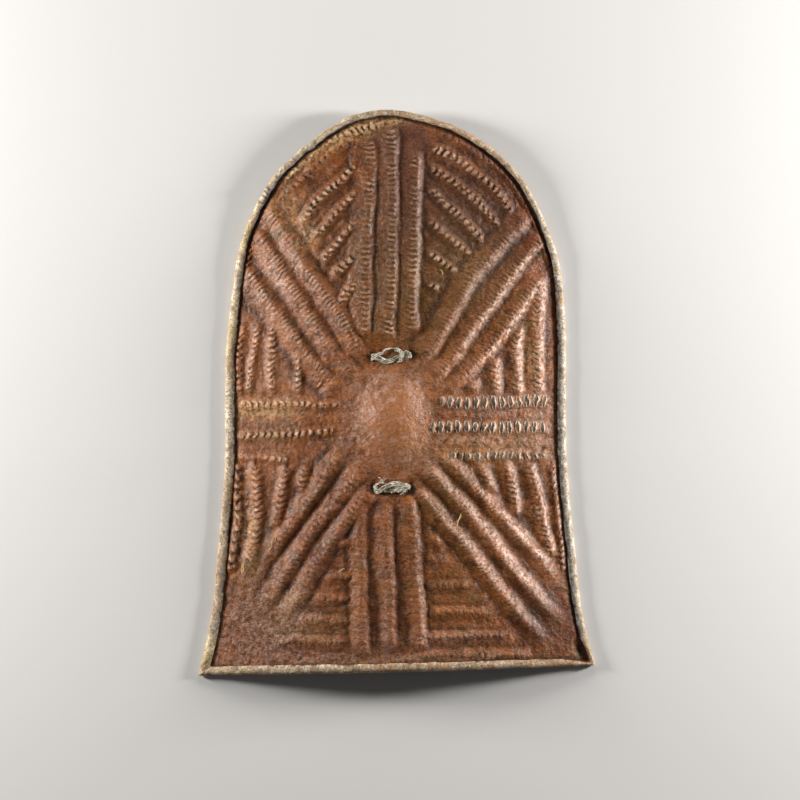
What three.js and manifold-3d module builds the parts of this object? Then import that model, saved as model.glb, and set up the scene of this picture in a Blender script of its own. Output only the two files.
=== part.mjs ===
// Hide shield: a tall sheet of stiff rawhide with an arched head and a spreading foot.
// The sheet is bent about its long axis, embossed with radiating ribs round a low boss, and
// its own edge is turned up and rolled forward as the rim. Two twisted thongs pass through
// the sheet above and below the boss and hold a strap grip across the hollow behind it.
// It lies face up in millimetres: X across, Y from the foot to the head, Z up. The origin is
// on the floor, in the middle of the shield's length and width.
import * as THREE from "three";
import { mergeVertices } from "three/addons/utils/BufferGeometryUtils.js";
import Module from "manifold-3d";

// Outline of the sheet
const shieldHeight = 943;
const waistWidth = 568; // between the straight sides
const footWidth = 664; // between the lower corners
const archRise = 399; // height of the arched head
const archPower = 2.1; // 2 is an ellipse
const flareRise = 392; // height over which the sides spread towards the foot
const flarePower = 1.6;
const footClimb = 0.026; // slope of the foot edge, rising to the right
const waistLean = -2.5; // how far the middle line lies left of the middle
const apexLean = -12; // how much further left the top of the arch lies

// Bend of the sheet
const hideThickness = 5;
const crown = 60; // height of the middle line above the side rims, under the sheet
const footCrown = 42; // the same at the foot edge
const headLift = 22; // how far the rim rises at the top of the arch
const edgeSoftness = 0.3; // share by which the bend eases off towards the rims

// Rolled rim
const rimWidth = 15;
const rimRise = 8; // above the face of the sheet
const rimStation = 25; // distance between two sections round the rim
const flatStrip = 16; // width of the level strip under the side rims

// Boss
const bossX = -5;
const bossY = -47;
const bossHalfWidth = 69;
const bossHalfLength = 97;
const bossRise = 17;

// Embossed ribs
const bandRibWidth = 19;
const fieldRibWidth = 15;
const ribRise = 4.5;
const ribTaper = 16; // length over which a rib fades out at its ends
const ribStation = 24; // distance between two sections along a rib
const fieldStation = 31; // distance between points of the plain field

// Thongs that hold the grip
const thongDiameter = 5.6;
const thongGap = 0.6; // between the two turns of a thong
const upperTieY = 61.7;
const lowerTieY = -156.7;
const tieX = -8;
const tieSpan = 63; // between the two holes of a tie
const tieClearance = 0.6; // above the face of the sheet and under the grip
const holeClearance = 1.2; // round the thong in its hole
const tieCrossings = 3; // how often the two turns cross on the face, an odd number

// Grip
const gripEndWidth = 42;
const gripMiddleWidth = 31;
const gripThickness = 7;
const gripOverlap = 26; // length of strap beyond each tie
const gripBow = 32; // how far the grip stands off the sheet
const gripSeat = 0.5; // gap between the strap's ends and the sheet

// Rows of ribs. A row holds its first and last rib, and the others lie evenly between them. A
// rib runs from start to end, in shares of half the waist width and of the shield's height from
// its middle. Reach is how much further the middle ribs run at either end, and bow bends a rib.

// Bands of three ribs that radiate from the boss, clockwise from the head.
const bandRows = [
  { ribs: 3, first: [-0.205, 0.085, -0.147, 0.44], last: [0.1, 0.085, 0.123, 0.429], reach: [0, 0.01] },
  {
    ribs: 3,
    first: [0.188, 0.076, 0.745, 0.304],
    last: [0.37, 0.021, 0.845, 0.209],
    reach: [0.01, 0.01],
    bow: 0.006,
  },
  { ribs: 3, first: [0.352, -0.017, 0.904, -0.017], last: [0.252, -0.11, 0.904, -0.11], reach: [0.03, 0] },
  {
    ribs: 3,
    first: [0.311, -0.125, 0.98, -0.345],
    last: [0.147, -0.194, 0.857, -0.442],
    reach: [0.02, 0],
  },
  { ribs: 3, first: [-0.2, -0.189, -0.194, -0.458], last: [0.112, -0.189, 0.153, -0.456] },
  {
    ribs: 3,
    first: [-0.434, -0.161, -0.763, -0.3],
    last: [-0.246, -0.205, -0.663, -0.405],
    reach: [0.03, 0],
  },
  { ribs: 3, first: [-0.387, -0.027, -0.921, -0.027], last: [-0.505, -0.113, -0.915, -0.113] },
  {
    ribs: 3,
    first: [-0.246, 0.092, -0.745, 0.313],
    last: [-0.329, 0.002, -0.869, 0.221],
    reach: [0.02, 0],
    bow: -0.007,
  },
];

// Narrower ribs that fill the fields between the bands, clockwise from the head.
const fieldRows = [
  { ribs: 5, first: [0.21, 0.425, 0.665, 0.312], last: [0.235, 0.235, 0.335, 0.223], bow: 0.009 },
  { ribs: 3, first: [0.845, 0.163, 0.833, 0.002], last: [0.581, 0.06, 0.585, -0.001] },
  { ribs: 3, first: [0.786, -0.133, 0.88, -0.267], last: [0.499, -0.133, 0.546, -0.161], bow: 0.004 },
  { ribs: 6, first: [0.205, -0.257, 0.264, -0.257], last: [0.225, -0.452, 0.745, -0.452] },
  { ribs: 4, first: [-0.311, -0.32, -0.393, -0.32], last: [-0.288, -0.435, -0.698, -0.435] },
  { ribs: 3, first: [-0.822, -0.164, -0.822, -0.286], last: [-0.552, -0.14, -0.552, -0.175] },
  { ribs: 4, first: [-0.851, 0.104, -0.851, -0.007], last: [-0.458, 0.032, -0.458, 0] },
  { ribs: 5, first: [-0.563, 0.293, -0.25, 0.394], last: [-0.3, 0.176, -0.262, 0.186] },
];

// Ribs that follow the arch inside the rim: degrees round the arch from the right side, and
// the distance from the outer edge.
const archRibs = [
  { from: 38, to: 78, inset: 26 },
  { from: 97, to: 133, inset: 26 },
  { from: 102, to: 128, inset: 48 },
];

// Places that several parts share
const headY = shieldHeight / 2;
const footY = -shieldHeight / 2;
const archFootY = headY - archRise;
const flareTopY = footY + flareRise;
const turnRadius = (thongDiameter + thongGap) / 2;
const tieHalfThickness = turnRadius + thongDiameter / 2;

const lerp = THREE.MathUtils.lerp;
const clamp = THREE.MathUtils.clamp;
const smoothstep = THREE.MathUtils.smoothstep;

// A curve whose point at a share t of its way comes from a function.
class Path extends THREE.Curve {
  constructor(pointAt) {
    super();
    this.pointAt = pointAt;
    this.arcLengthDivisions = 600;
  }

  getPoint(t, target = new THREE.Vector3()) {
    return target.copy(this.pointAt(t));
  }
}

// Outline

function footEdgeAt(x) {
  return footY + footClimb * (x + footWidth / 2);
}

// Half the width on one side, -1 left or 1 right, from the middle line to the outer edge.
function halfWidthAt(y, side) {
  const halfWaist = waistWidth / 2;
  if (y > archFootY) {
    const up = Math.min(1, (y - archFootY) / archRise);
    return halfWaist * (1 - up ** archPower) ** (1 / archPower);
  }
  const cornerY = footEdgeAt((side * footWidth) / 2);
  const down = Math.max(0, (flareTopY - y) / (flareTopY - cornerY));
  return halfWaist + (footWidth / 2 - halfWaist) * down ** flarePower;
}

function middleLineAt(y) {
  if (y > archFootY) {
    return waistLean + apexLean * Math.min(1, (y - archFootY) / archRise) ** 6;
  }
  return waistLean * clamp((y - footEdgeAt(footWidth / 2)) / flareRise, 0, 1);
}

// A point of the arch, at an angle from its right side, some way inside the outer edge.
function archPoint(angle, inset) {
  const power = 2 / archPower;
  const across = Math.sign(Math.cos(angle)) * Math.abs(Math.cos(angle)) ** power;
  const up = Math.abs(Math.sin(angle)) ** power;
  const y = archFootY + (archRise - inset) * up;
  return new THREE.Vector3(middleLineAt(y) + (waistWidth / 2 - inset) * across, y, 0);
}

function sidePoint(side, y) {
  return new THREE.Vector3(middleLineAt(y) + side * halfWidthAt(y, side), y, 0);
}

// The outer edge counterclockwise from the lower left corner, as evenly spaced points.
function outerEdge() {
  const leftCorner = sidePoint(-1, footY);
  const rightCorner = sidePoint(1, footEdgeAt(footWidth / 2));
  const foot = new Path((t) => {
    const x = lerp(leftCorner.x, rightCorner.x, t);
    return new THREE.Vector3(x, footEdgeAt(x), 0);
  });
  const sidesAndHead = new Path((t) => {
    const stretch = 3 * t;
    if (stretch < 1) return sidePoint(1, lerp(rightCorner.y, archFootY, stretch));
    if (stretch < 2) return archPoint(Math.PI * (stretch - 1), 0);
    return sidePoint(-1, lerp(archFootY, footY, stretch - 2));
  });
  return [foot, sidesAndHead].flatMap((stretch) => {
    const count = Math.round(stretch.getLength() / rimStation);
    return stretch.getSpacedPoints(count).slice(0, count);
  });
}

// The way inwards at each point of a closed edge, long enough at a corner to keep the width.
function inwardMitres(edge) {
  return edge.map((point, i) => {
    const before = point.clone().sub(edge.at(i - 1)).normalize();
    const after = edge[(i + 1) % edge.length].clone().sub(point).normalize();
    const inward = new THREE.Vector3(-before.y - after.y, before.x + after.x, 0).normalize();
    const square = new THREE.Vector3(-after.y, after.x, 0);
    return inward.divideScalar(inward.dot(square));
  });
}

// Relief

// Height of the sheet's underside: highest along the middle line, down to the rims.
function bendAt(x, y) {
  const across = Math.abs(x - middleLineAt(y));
  const bulge = (share) => (1 - share ** 2) * (1 - edgeSoftness * share ** 2);
  if (y > archFootY) {
    const side = across / (waistWidth / 2 - flatStrip);
    const up = (y - archFootY) / (archRise - flatStrip);
    const out = (side ** archPower + up ** archPower) ** (1 / archPower);
    const lift = headLift * (up / Math.max(out, 1e-6)) ** 2;
    return lift + (crown - lift) * bulge(Math.min(1, out));
  }
  const halfWidth = halfWidthAt(y, Math.sign(x - middleLineAt(y)));
  const side = Math.min(1, across / (halfWidth - flatStrip));
  const down = (archFootY - y) / (archFootY - footY);
  return (crown - (crown - footCrown) * down ** 2) * bulge(side);
}

// A rib as a curve between two ends, bent sideways by a share of the shield's height.
function ribCurve([startX, startY, endX, endY], bow, reachStart, reachEnd) {
  const start = new THREE.Vector3((startX * waistWidth) / 2, startY * shieldHeight, 0);
  const end = new THREE.Vector3((endX * waistWidth) / 2, endY * shieldHeight, 0);
  const along = end.clone().sub(start).normalize();
  start.addScaledVector(along, -reachStart * shieldHeight);
  end.addScaledVector(along, reachEnd * shieldHeight);
  const bend = new THREE.Vector3(-along.y, along.x, 0).multiplyScalar(2 * bow * shieldHeight);
  return new THREE.QuadraticBezierCurve3(start, start.clone().lerp(end, 0.5).add(bend), end);
}

function rowCurves({ ribs, first, last, reach = [0, 0], bow = 0 }) {
  return Array.from({ length: ribs }, (_, i) => {
    const share = i / (ribs - 1);
    const ends = first.map((value, k) => lerp(value, last[k], share));
    const inner = i > 0 && i < ribs - 1 ? 1 : 0;
    return ribCurve(ends, bow, inner * reach[0], inner * reach[1]);
  });
}

function archCurve({ from, to, inset }) {
  return new Path((t) => archPoint(THREE.MathUtils.degToRad(lerp(from, to, t)), inset));
}

// A rib with evenly spaced points on its crest.
function ribAlong(curve, width) {
  const length = curve.getLength();
  const count = Math.max(2, Math.round(length / ribStation));
  return { curve, length, halfWidth: width / 2, crest: curve.getSpacedPoints(count) };
}

const ribs = [
  ...bandRows.flatMap(rowCurves).map((curve) => ribAlong(curve, bandRibWidth)),
  ...fieldRows.flatMap(rowCurves).map((curve) => ribAlong(curve, fieldRibWidth)),
  ...archRibs.map(archCurve).map((curve) => ribAlong(curve, fieldRibWidth)),
];

// How far a point lies from a rib's crest line, and how far along the rib.
function ribPosition(rib, x, y) {
  const best = { distance: Infinity, along: 0 };
  const step = rib.length / (rib.crest.length - 1);
  for (let i = 1; i < rib.crest.length; i++) {
    const a = rib.crest[i - 1];
    const run = rib.crest[i].clone().sub(a);
    const share = clamp(((x - a.x) * run.x + (y - a.y) * run.y) / run.lengthSq(), 0, 1);
    const distance = Math.hypot(x - a.x - share * run.x, y - a.y - share * run.y);
    if (distance < best.distance) {
      best.distance = distance;
      best.along = (i - 1 + share) * step;
    }
  }
  return best;
}

function ribReliefAt(x, y) {
  let relief = 0;
  for (const rib of ribs) {
    const { distance, along } = ribPosition(rib, x, y);
    if (distance > rib.halfWidth) continue;
    const toEnd = Math.min(along, rib.length - along);
    const fade = smoothstep(toEnd, -ribTaper / 4, ribTaper);
    const section = 0.5 + 0.5 * Math.cos((Math.PI * distance) / rib.halfWidth);
    relief = Math.max(relief, ribRise * fade * section);
  }
  return relief;
}

function bossReliefAt(x, y) {
  const out = Math.hypot((x - bossX) / bossHalfWidth, (y - bossY) / bossHalfLength);
  return bossRise * (1 - Math.min(1, out) ** 2) ** 1.5;
}

function reliefAt(x, y) {
  return Math.max(ribReliefAt(x, y), bossReliefAt(x, y));
}

// Points of the sheet in plan, closest together where the relief turns.
function fieldPoints(border) {
  const points = border.map((point) => point.clone());
  const loop = border.map((point) => new THREE.Vector2(point.x, point.y));
  const clearOfBorder = (point, gap) => border.every((other, i) => {
    const line = new THREE.Line3(other, border[(i + 1) % border.length]);
    return line.closestPointToPoint(point, true, new THREE.Vector3()).distanceTo(point) > gap;
  });
  const inside = (point) => loop.reduce((odd, a, i) => {
    const b = loop[(i + 1) % loop.length];
    const spans = a.y > point.y !== b.y > point.y;
    return spans && point.x < a.x + ((point.y - a.y) * (b.x - a.x)) / (b.y - a.y) ? !odd : odd;
  }, false);
  const add = (point, gap) => {
    if (!inside(point) || !clearOfBorder(point, gap / 2)) return;
    if (points.every((other) => other.distanceTo(point) > gap)) points.push(point);
  };
  for (const { crest, halfWidth } of ribs) crest.forEach((point) => add(point, halfWidth * 0.8));
  for (const { curve, crest, halfWidth } of ribs) {
    crest.forEach((point, i) => {
      const along = curve.getTangentAt(i / (crest.length - 1));
      for (const side of [-halfWidth, halfWidth]) {
        const foot = new THREE.Vector3(point.x - along.y * side, point.y + along.x * side, 0);
        add(foot, halfWidth * 0.75);
      }
    });
  }
  for (const ring of [1, 0.8, 0.6, 0.38, 0.15]) {
    const count = Math.round((2 * Math.PI * ring * bossHalfLength) / fieldStation);
    for (let i = 0; i < count; i++) {
      const angle = (2 * Math.PI * i) / count;
      const x = bossX + ring * bossHalfWidth * Math.cos(angle);
      const y = bossY + ring * bossHalfLength * Math.sin(angle);
      add(new THREE.Vector3(x, y, 0), fieldStation * 0.4);
    }
  }
  const rowStep = fieldStation * 0.87;
  const rows = Math.ceil(shieldHeight / rowStep);
  const columns = Math.ceil(footWidth / fieldStation);
  for (let row = 0; row <= rows; row++) {
    for (let column = 0; column <= columns; column++) {
      const x = -footWidth / 2 + (column + (row % 2) / 2) * fieldStation;
      add(new THREE.Vector3(x, footY + row * rowStep, 0), fieldStation * 0.62);
    }
  }
  return points;
}

// Triangles between points in plan whose first ones are a closed border, counterclockwise. The
// border is filled first, then each inner point is put in and edges are turned until no point
// lies in a triangle's circle.
function triangulate(points, borderCount) {
  const apexOf = new Map();
  const key = (a, b) => a * points.length + b;
  const cross = (a, b, c) => {
    const [p, q, r] = [points[a], points[b], points[c]];
    return (q.x - p.x) * (r.y - p.y) - (q.y - p.y) * (r.x - p.x);
  };
  const put = (a, b, c) => {
    apexOf.set(key(a, b), c);
    apexOf.set(key(b, c), a);
    apexOf.set(key(c, a), b);
  };
  const take = (a, b, c) => {
    apexOf.delete(key(a, b));
    apexOf.delete(key(b, c));
    apexOf.delete(key(c, a));
  };
  const inCircle = (a, b, c, d) => {
    const rows = [a, b, c].map((i) => {
      const dx = points[i].x - points[d].x;
      const dy = points[i].y - points[d].y;
      return [dx, dy, dx * dx + dy * dy];
    });
    const [[ax, ay, aw], [bx, by, bw], [cx, cy, cw]] = rows;
    const minors = ax * (by * cw - bw * cy) - ay * (bx * cw - bw * cx) + aw * (bx * cy - by * cx);
    return minors > 1e-3;
  };
  const turnEdge = (a, b, p) => {
    const q = apexOf.get(key(b, a));
    if (q === undefined || !inCircle(a, b, p, q)) return;
    take(a, b, p);
    take(b, a, q);
    put(a, q, p);
    put(q, b, p);
    turnEdge(a, q, p);
    turnEdge(q, b, p);
  };
  const border = points.slice(0, borderCount).map((point) => new THREE.Vector2(point.x, point.y));
  for (const [a, b, c] of THREE.ShapeUtils.triangulateShape(border, [])) {
    if (cross(a, b, c) > 0) put(a, b, c);
    else put(a, c, b);
  }
  const triangles = () => [...apexOf].flatMap(([edge, c]) => {
    const a = Math.floor(edge / points.length);
    const b = edge % points.length;
    return a < b && a < c ? [[a, b, c]] : [];
  });
  for (let p = borderCount; p < points.length; p++) {
    const holder = triangles().find(
      ([a, b, c]) => cross(a, b, p) >= 0 && cross(b, c, p) >= 0 && cross(c, a, p) >= 0,
    );
    const [a, b, c] = holder;
    take(a, b, c);
    put(a, b, p);
    put(b, c, p);
    put(c, a, p);
    turnEdge(a, b, p);
    turnEdge(b, c, p);
    turnEdge(c, a, p);
  }
  return triangles();
}

// The rim's section between the face of the sheet and its underside: distance in from the
// outer edge, and height above the underside.
const rimSection = [
  [rimWidth - 1.5, hideThickness + rimRise * 0.72],
  [rimWidth * 0.58, hideThickness + rimRise],
  [rimWidth * 0.2, hideThickness + rimRise * 0.55],
  [0, hideThickness * 0.8],
  [rimWidth * 0.14, 0],
];

function sheetGeometry() {
  const edge = outerEdge();
  const inward = inwardMitres(edge);
  const insetPoint = (i, inset) => edge[i].clone().addScaledVector(inward[i], inset);
  const count = edge.length;
  const points = fieldPoints(edge.map((_, i) => insetPoint(i, rimWidth)));
  const vertices = [];
  const faces = [];
  const addVertex = (x, y, z) => vertices.push(x, y, z) / 3 - 1;
  const surface = (rise) => points.map(({ x, y }, i) => {
    const relief = i < count ? 0 : reliefAt(x, y);
    return addVertex(x, y, bendAt(x, y) + relief + rise);
  });
  const face = surface(hideThickness);
  const underside = surface(0);
  for (const [a, b, c] of triangulate(points, count)) {
    faces.push(face[a], face[b], face[c], underside[a], underside[c], underside[b]);
  }
  const rings = rimSection.map(([inset, rise]) => edge.map((_, i) => {
    const { x, y } = insetPoint(i, inset);
    return addVertex(x, y, bendAt(x, y) + rise);
  }));
  const bands = [face, ...rings, underside];
  for (let k = 1; k < bands.length; k++) {
    for (let i = 0; i < count; i++) {
      const next = (i + 1) % count;
      const [a, b, c, d] = [bands[k - 1][i], bands[k - 1][next], bands[k][next], bands[k][i]];
      faces.push(d, c, b, d, b, a);
    }
  }
  const geometry = new THREE.BufferGeometry();
  geometry.setAttribute("position", new THREE.Float32BufferAttribute(vertices, 3));
  geometry.setIndex(faces);
  return geometry;
}

// Cuts

const manifold = await Module();
manifold.setup();

function solidOf(geometry) {
  const bare = geometry.clone();
  bare.deleteAttribute("normal");
  bare.deleteAttribute("uv");
  const merged = mergeVertices(bare, 1e-4);
  const mesh = new manifold.Mesh({
    numProp: 3,
    vertProperties: new Float32Array(merged.attributes.position.array),
    triVerts: new Uint32Array(merged.index.array),
  });
  return new manifold.Manifold(mesh);
}

function geometryOf(solid) {
  const mesh = solid.getMesh();
  const geometry = new THREE.BufferGeometry();
  geometry.setAttribute("position", new THREE.BufferAttribute(mesh.vertProperties, 3));
  geometry.setIndex(new THREE.BufferAttribute(mesh.triVerts, 1));
  geometry.computeVertexNormals();
  return geometry;
}

// The slit through the sheet for the two turns of a thong.
function thongHole(x, y) {
  const hole = new THREE.CylinderGeometry(1, 1, 4 * crown, 12);
  hole.rotateX(Math.PI / 2);
  hole.scale(thongDiameter / 2 + holeClearance, tieHalfThickness + holeClearance, 1);
  hole.translate(x, y, crown);
  return hole;
}

function hide() {
  let solid = solidOf(sheetGeometry());
  for (const y of [upperTieY, lowerTieY]) {
    for (const x of [tieX - tieSpan / 2, tieX + tieSpan / 2]) {
      solid = solid.subtract(solidOf(thongHole(x, y)));
    }
  }
  return geometryOf(solid);
}

// Grip

// A strap that lies against the sheet at its ends and stands off it between the ties.
function grip() {
  const top = upperTieY + gripOverlap;
  const bottom = lowerTieY - gripOverlap;
  const strap = new THREE.BoxGeometry(1, 1, 1, 4, 26, 1);
  const position = strap.attributes.position;
  for (let i = 0; i < position.count; i++) {
    const side = 2 * position.getX(i);
    const y = lerp(bottom, top, position.getY(i) + 0.5);
    const share = clamp((y - lowerTieY) / (upperTieY - lowerTieY), 0, 1);
    const off = Math.sin(Math.PI * share) ** 1.4;
    const x = tieX + (side * lerp(gripEndWidth, gripMiddleWidth, off)) / 2;
    const depth = gripThickness * (0.5 - position.getZ(i));
    const rounding = 0.3 * (depth - gripThickness / 2) * side ** 2;
    position.setXYZ(i, x, y, bendAt(x, y) - gripSeat - gripBow * off - depth + rounding);
  }
  return geometryOf(solidOf(strap));
}

// Thongs

// The line of a thong: two turns through the sheet and round the end of the grip, wound about
// each other on the face, so that each turn ends where the other begins.
function thongPoint(t, y) {
  const turns = 2 * t;
  const turn = turns % 1;
  const topZ = bendAt(tieX, y) + hideThickness + tieClearance + tieHalfThickness;
  const bottomZ = bendAt(tieX, y) - gripSeat - gripThickness - tieClearance - tieHalfThickness;
  const angle = 2 * Math.PI * turn;
  const squareness = 2 / 5;
  const bend = (value) => Math.sign(value) * Math.abs(value) ** squareness;
  const loop = new THREE.Vector3(bend(Math.cos(angle)), 0, bend(Math.sin(angle)));
  loop.set((loop.x * tieSpan) / 2, 0, (loop.z * (topZ - bottomZ)) / 2);
  const outward = new THREE.Vector3(Math.cos(angle) ** 3, 0, Math.sin(angle) ** 3).normalize();
  const wound = smoothstep(turn, 0.1, 0.4) + Math.floor(turns);
  const twist = Math.PI * tieCrossings * wound;
  loop.addScaledVector(outward, turnRadius * Math.sin(twist));
  loop.y += turnRadius * Math.cos(twist);
  return loop.add(new THREE.Vector3(tieX, y, (topZ + bottomZ) / 2));
}

function thong(y) {
  return new THREE.TubeGeometry(new Path((t) => thongPoint(t, y)), 66, thongDiameter / 2, 6, true);
}

// Materials

const embossedHide = new THREE.MeshStandardMaterial({ color: 0x7b4f38, roughness: 0.62, metalness: 0 });
const greyThong = new THREE.MeshStandardMaterial({ color: 0x8a7d6c, roughness: 0.75, metalness: 0 });
const strapHide = new THREE.MeshStandardMaterial({ color: 0x6b4a35, roughness: 0.7, metalness: 0 });

// Assembly

function piece(name, geometry, material) {
  const mesh = new THREE.Mesh(geometry, material);
  mesh.name = name;
  return mesh;
}

const shield = new THREE.Group();
shield.add(
  piece("hide", hide(), embossedHide),
  piece("grip", grip(), strapHide),
  piece("upper_tie", thong(upperTieY), greyThong),
  piece("lower_tie", thong(lowerTieY), greyThong),
);

export default shield;
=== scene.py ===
import math

import bmesh
import bpy
import numpy as np
from mathutils import Matrix, Vector


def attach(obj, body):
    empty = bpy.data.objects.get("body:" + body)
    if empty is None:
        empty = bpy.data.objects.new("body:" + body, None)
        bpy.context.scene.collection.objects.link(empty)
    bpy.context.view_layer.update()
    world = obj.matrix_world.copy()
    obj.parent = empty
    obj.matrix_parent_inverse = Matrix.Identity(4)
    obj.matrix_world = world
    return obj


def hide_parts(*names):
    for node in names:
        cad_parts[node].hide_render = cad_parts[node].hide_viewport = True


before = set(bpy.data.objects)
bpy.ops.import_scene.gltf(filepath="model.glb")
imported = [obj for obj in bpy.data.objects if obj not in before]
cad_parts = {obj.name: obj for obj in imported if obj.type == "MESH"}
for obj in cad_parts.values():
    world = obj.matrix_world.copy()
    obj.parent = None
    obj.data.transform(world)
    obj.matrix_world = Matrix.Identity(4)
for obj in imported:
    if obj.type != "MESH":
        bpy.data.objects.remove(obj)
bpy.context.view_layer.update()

# Lengths are in millimetres until a mesh is made
MM = 0.001

# Outline and bend of the sheet
SHIELD_HEIGHT = 943
WAIST_WIDTH = 568
FOOT_WIDTH = 664
ARCH_RISE = 399
ARCH_POWER = 2.1
FLARE_RISE = 392
FLARE_POWER = 1.6
FOOT_CLIMB = 0.026
WAIST_LEAN = -2.5
APEX_LEAN = -12
HIDE_THICKNESS = 5
CROWN = 60
FOOT_CROWN = 42
HEAD_LIFT = 22
EDGE_SOFTNESS = 0.3
FLAT_STRIP = 16
FOOT_Y = -SHIELD_HEIGHT / 2
ARCH_FOOT_Y = SHIELD_HEIGHT / 2 - ARCH_RISE
FLARE_TOP_Y = FOOT_Y + FLARE_RISE

# Boss
BOSS = (-5, -47)
BOSS_HALF_WIDTH = 69
BOSS_HALF_LENGTH = 97
BOSS_RISE = 15.5
BOSS_POWER = 1.9

# Ties and grip
TIE_X = -8
TIE_YS = {"upper_tie": 61.7, "lower_tie": -156.7}
TIE_SPAN = 63
TIE_UNDER_GRIP = 3.5
GRIP_END_WIDTH = 42
GRIP_MIDDLE_WIDTH = 31
GRIP_THICKNESS = 7
GRIP_OVERLAP = 26
GRIP_BOW = 32
GRIP_SEAT = 0.5

# Mesh of the sheet: even numbers, because the back has half as many faces each way
COLUMNS = 192
SIDE_ROWS = 186
HEAD_ROWS = 134
ROWS = SIDE_ROWS + HEAD_ROWS


def smoothstep(low, high, value):
    share = np.clip((value - low) / (high - low), 0, 1)
    return share * share * (3 - 2 * share)


def soft_noise(x, y, cell, seed):
    """Smooth noise from -1 to 1 in plan, with lumps about one cell across."""
    lattice = np.random.default_rng(seed).uniform(-1, 1, (97, 97))
    column, row = np.floor(x / cell).astype(int), np.floor(y / cell).astype(int)
    right, up = x / cell - column, y / cell - row
    right, up = right * right * (3 - 2 * right), up * up * (3 - 2 * up)
    column, row = column % 96, row % 96
    low = lattice[row, column] * (1 - right) + lattice[row, column + 1] * right
    high = lattice[row + 1, column] * (1 - right) + lattice[row + 1, column + 1] * right
    return low * (1 - up) + high * up


def layered_noise(x, y, cell, seed):
    """Two sizes of smooth noise together, turned against each other."""
    turned_x, turned_y = 0.8 * x - 0.6 * y, 0.6 * x + 0.8 * y
    small = soft_noise(turned_x, turned_y, cell * 0.45, seed + 1)
    return 0.65 * soft_noise(x, y, cell, seed) + 0.35 * small


def soft_patch(x, y, place, half_sizes, turn=0.0):
    """1 in the middle of a soft oval patch, falling to 0 round it; the turn is in degrees."""
    angle = math.radians(turn)
    dx, dy = x - place[0], y - place[1]
    along = (dx * math.cos(angle) + dy * math.sin(angle)) / half_sizes[0]
    across = (-dx * math.sin(angle) + dy * math.cos(angle)) / half_sizes[1]
    return np.exp(-(along**2) - across**2)


# Outline


def foot_edge(x):
    return FOOT_Y + FOOT_CLIMB * (x + FOOT_WIDTH / 2)


def half_width(y, side):
    up = np.clip((y - ARCH_FOOT_Y) / ARCH_RISE, 0, 1)
    arch = WAIST_WIDTH / 2 * (1 - up**ARCH_POWER) ** (1 / ARCH_POWER)
    corner_y = foot_edge(side * FOOT_WIDTH / 2)
    down = np.clip((FLARE_TOP_Y - y) / (FLARE_TOP_Y - corner_y), 0, 1.1)
    return arch + (FOOT_WIDTH - WAIST_WIDTH) / 2 * down**FLARE_POWER


def middle_line(y):
    up = np.clip((y - ARCH_FOOT_Y) / ARCH_RISE, 0, 1)
    down = np.clip((y - foot_edge(FOOT_WIDTH / 2)) / FLARE_RISE, 0, 1)
    return WAIST_LEAN * down + APEX_LEAN * up**6


def plan_point(across, row, inset):
    """A place in plan: across from -1 to 1, row from the foot, inside an inset edge."""
    side = np.sign(across)
    foot_y = foot_edge(across * FOOT_WIDTH / 2) + inset
    y_side = foot_y + (ARCH_FOOT_Y - foot_y) * np.clip(row / SIDE_ROWS, 0, 1)
    x_side = middle_line(y_side) + across * (half_width(y_side, side) - inset)
    up = np.clip((row - SIDE_ROWS) / HEAD_ROWS, 0, 1)
    disc_x, disc_y = across * np.sqrt(1 - up**2 / 2), up * np.sqrt(1 - across**2 / 2)
    norm = (np.abs(disc_x) ** ARCH_POWER + disc_y**ARCH_POWER) ** (1 / ARCH_POWER)
    squash = np.hypot(disc_x, disc_y) / np.maximum(norm, 1e-9)
    y_head = ARCH_FOOT_Y + (ARCH_RISE - inset) * disc_y * squash
    x_head = middle_line(y_head) + (WAIST_WIDTH / 2 - inset) * disc_x * squash
    in_head = row > SIDE_ROWS
    return np.where(in_head, x_head, x_side), np.where(in_head, y_head, y_side)


def bend(x, y):
    """Height of the sheet's underside, without the relief."""
    across = np.abs(x - middle_line(y))
    side = across / (WAIST_WIDTH / 2 - FLAT_STRIP)
    up = np.clip((y - ARCH_FOOT_Y) / (ARCH_RISE - FLAT_STRIP), 0, None)
    out = (side**ARCH_POWER + up**ARCH_POWER) ** (1 / ARCH_POWER)
    lift = HEAD_LIFT * (up / np.maximum(out, 1e-6)) ** 2
    out = np.minimum(out, 1)
    head = lift + (CROWN - lift) * (1 - out**2) * (1 - EDGE_SOFTNESS * out**2)
    share = np.minimum(across / (half_width(y, np.sign(x - middle_line(y))) - FLAT_STRIP), 1)
    down = np.clip((ARCH_FOOT_Y - y) / (ARCH_FOOT_Y - FOOT_Y), 0, 1.05)
    crown = CROWN - (CROWN - FOOT_CROWN) * down**2
    body = crown * (1 - share**2) * (1 - EDGE_SOFTNESS * share**2)
    return np.where(y > ARCH_FOOT_Y, head, body)


# Where the sheet's edge lies off its even outline: place, reach, and push across and up
PUSHES = [
    ((-140, 420), 75, (5.0, -7.0)),
    ((60, 455), 50, (-1.0, -4.0)),
    ((205, 345), 70, (4.5, 3.5)),
    ((262, 225), 60, (5.5, 1.0)),
    ((-277, 145), 70, (5.5, 0.0)),
    ((-305, -370), 85, (5.0, 0.0)),
    ((305, -370), 85, (-6.0, 0.0)),
]


def settle(x, y):
    """Moves places of the even outline to where the hide dried."""
    moved_x, moved_y = x.copy(), y.copy()
    for place, reach, (push_x, push_y) in PUSHES:
        near = soft_patch(x, y, place, (reach, reach))
        moved_x, moved_y = moved_x + push_x * near, moved_y + push_y * near
    return moved_x, moved_y


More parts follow.
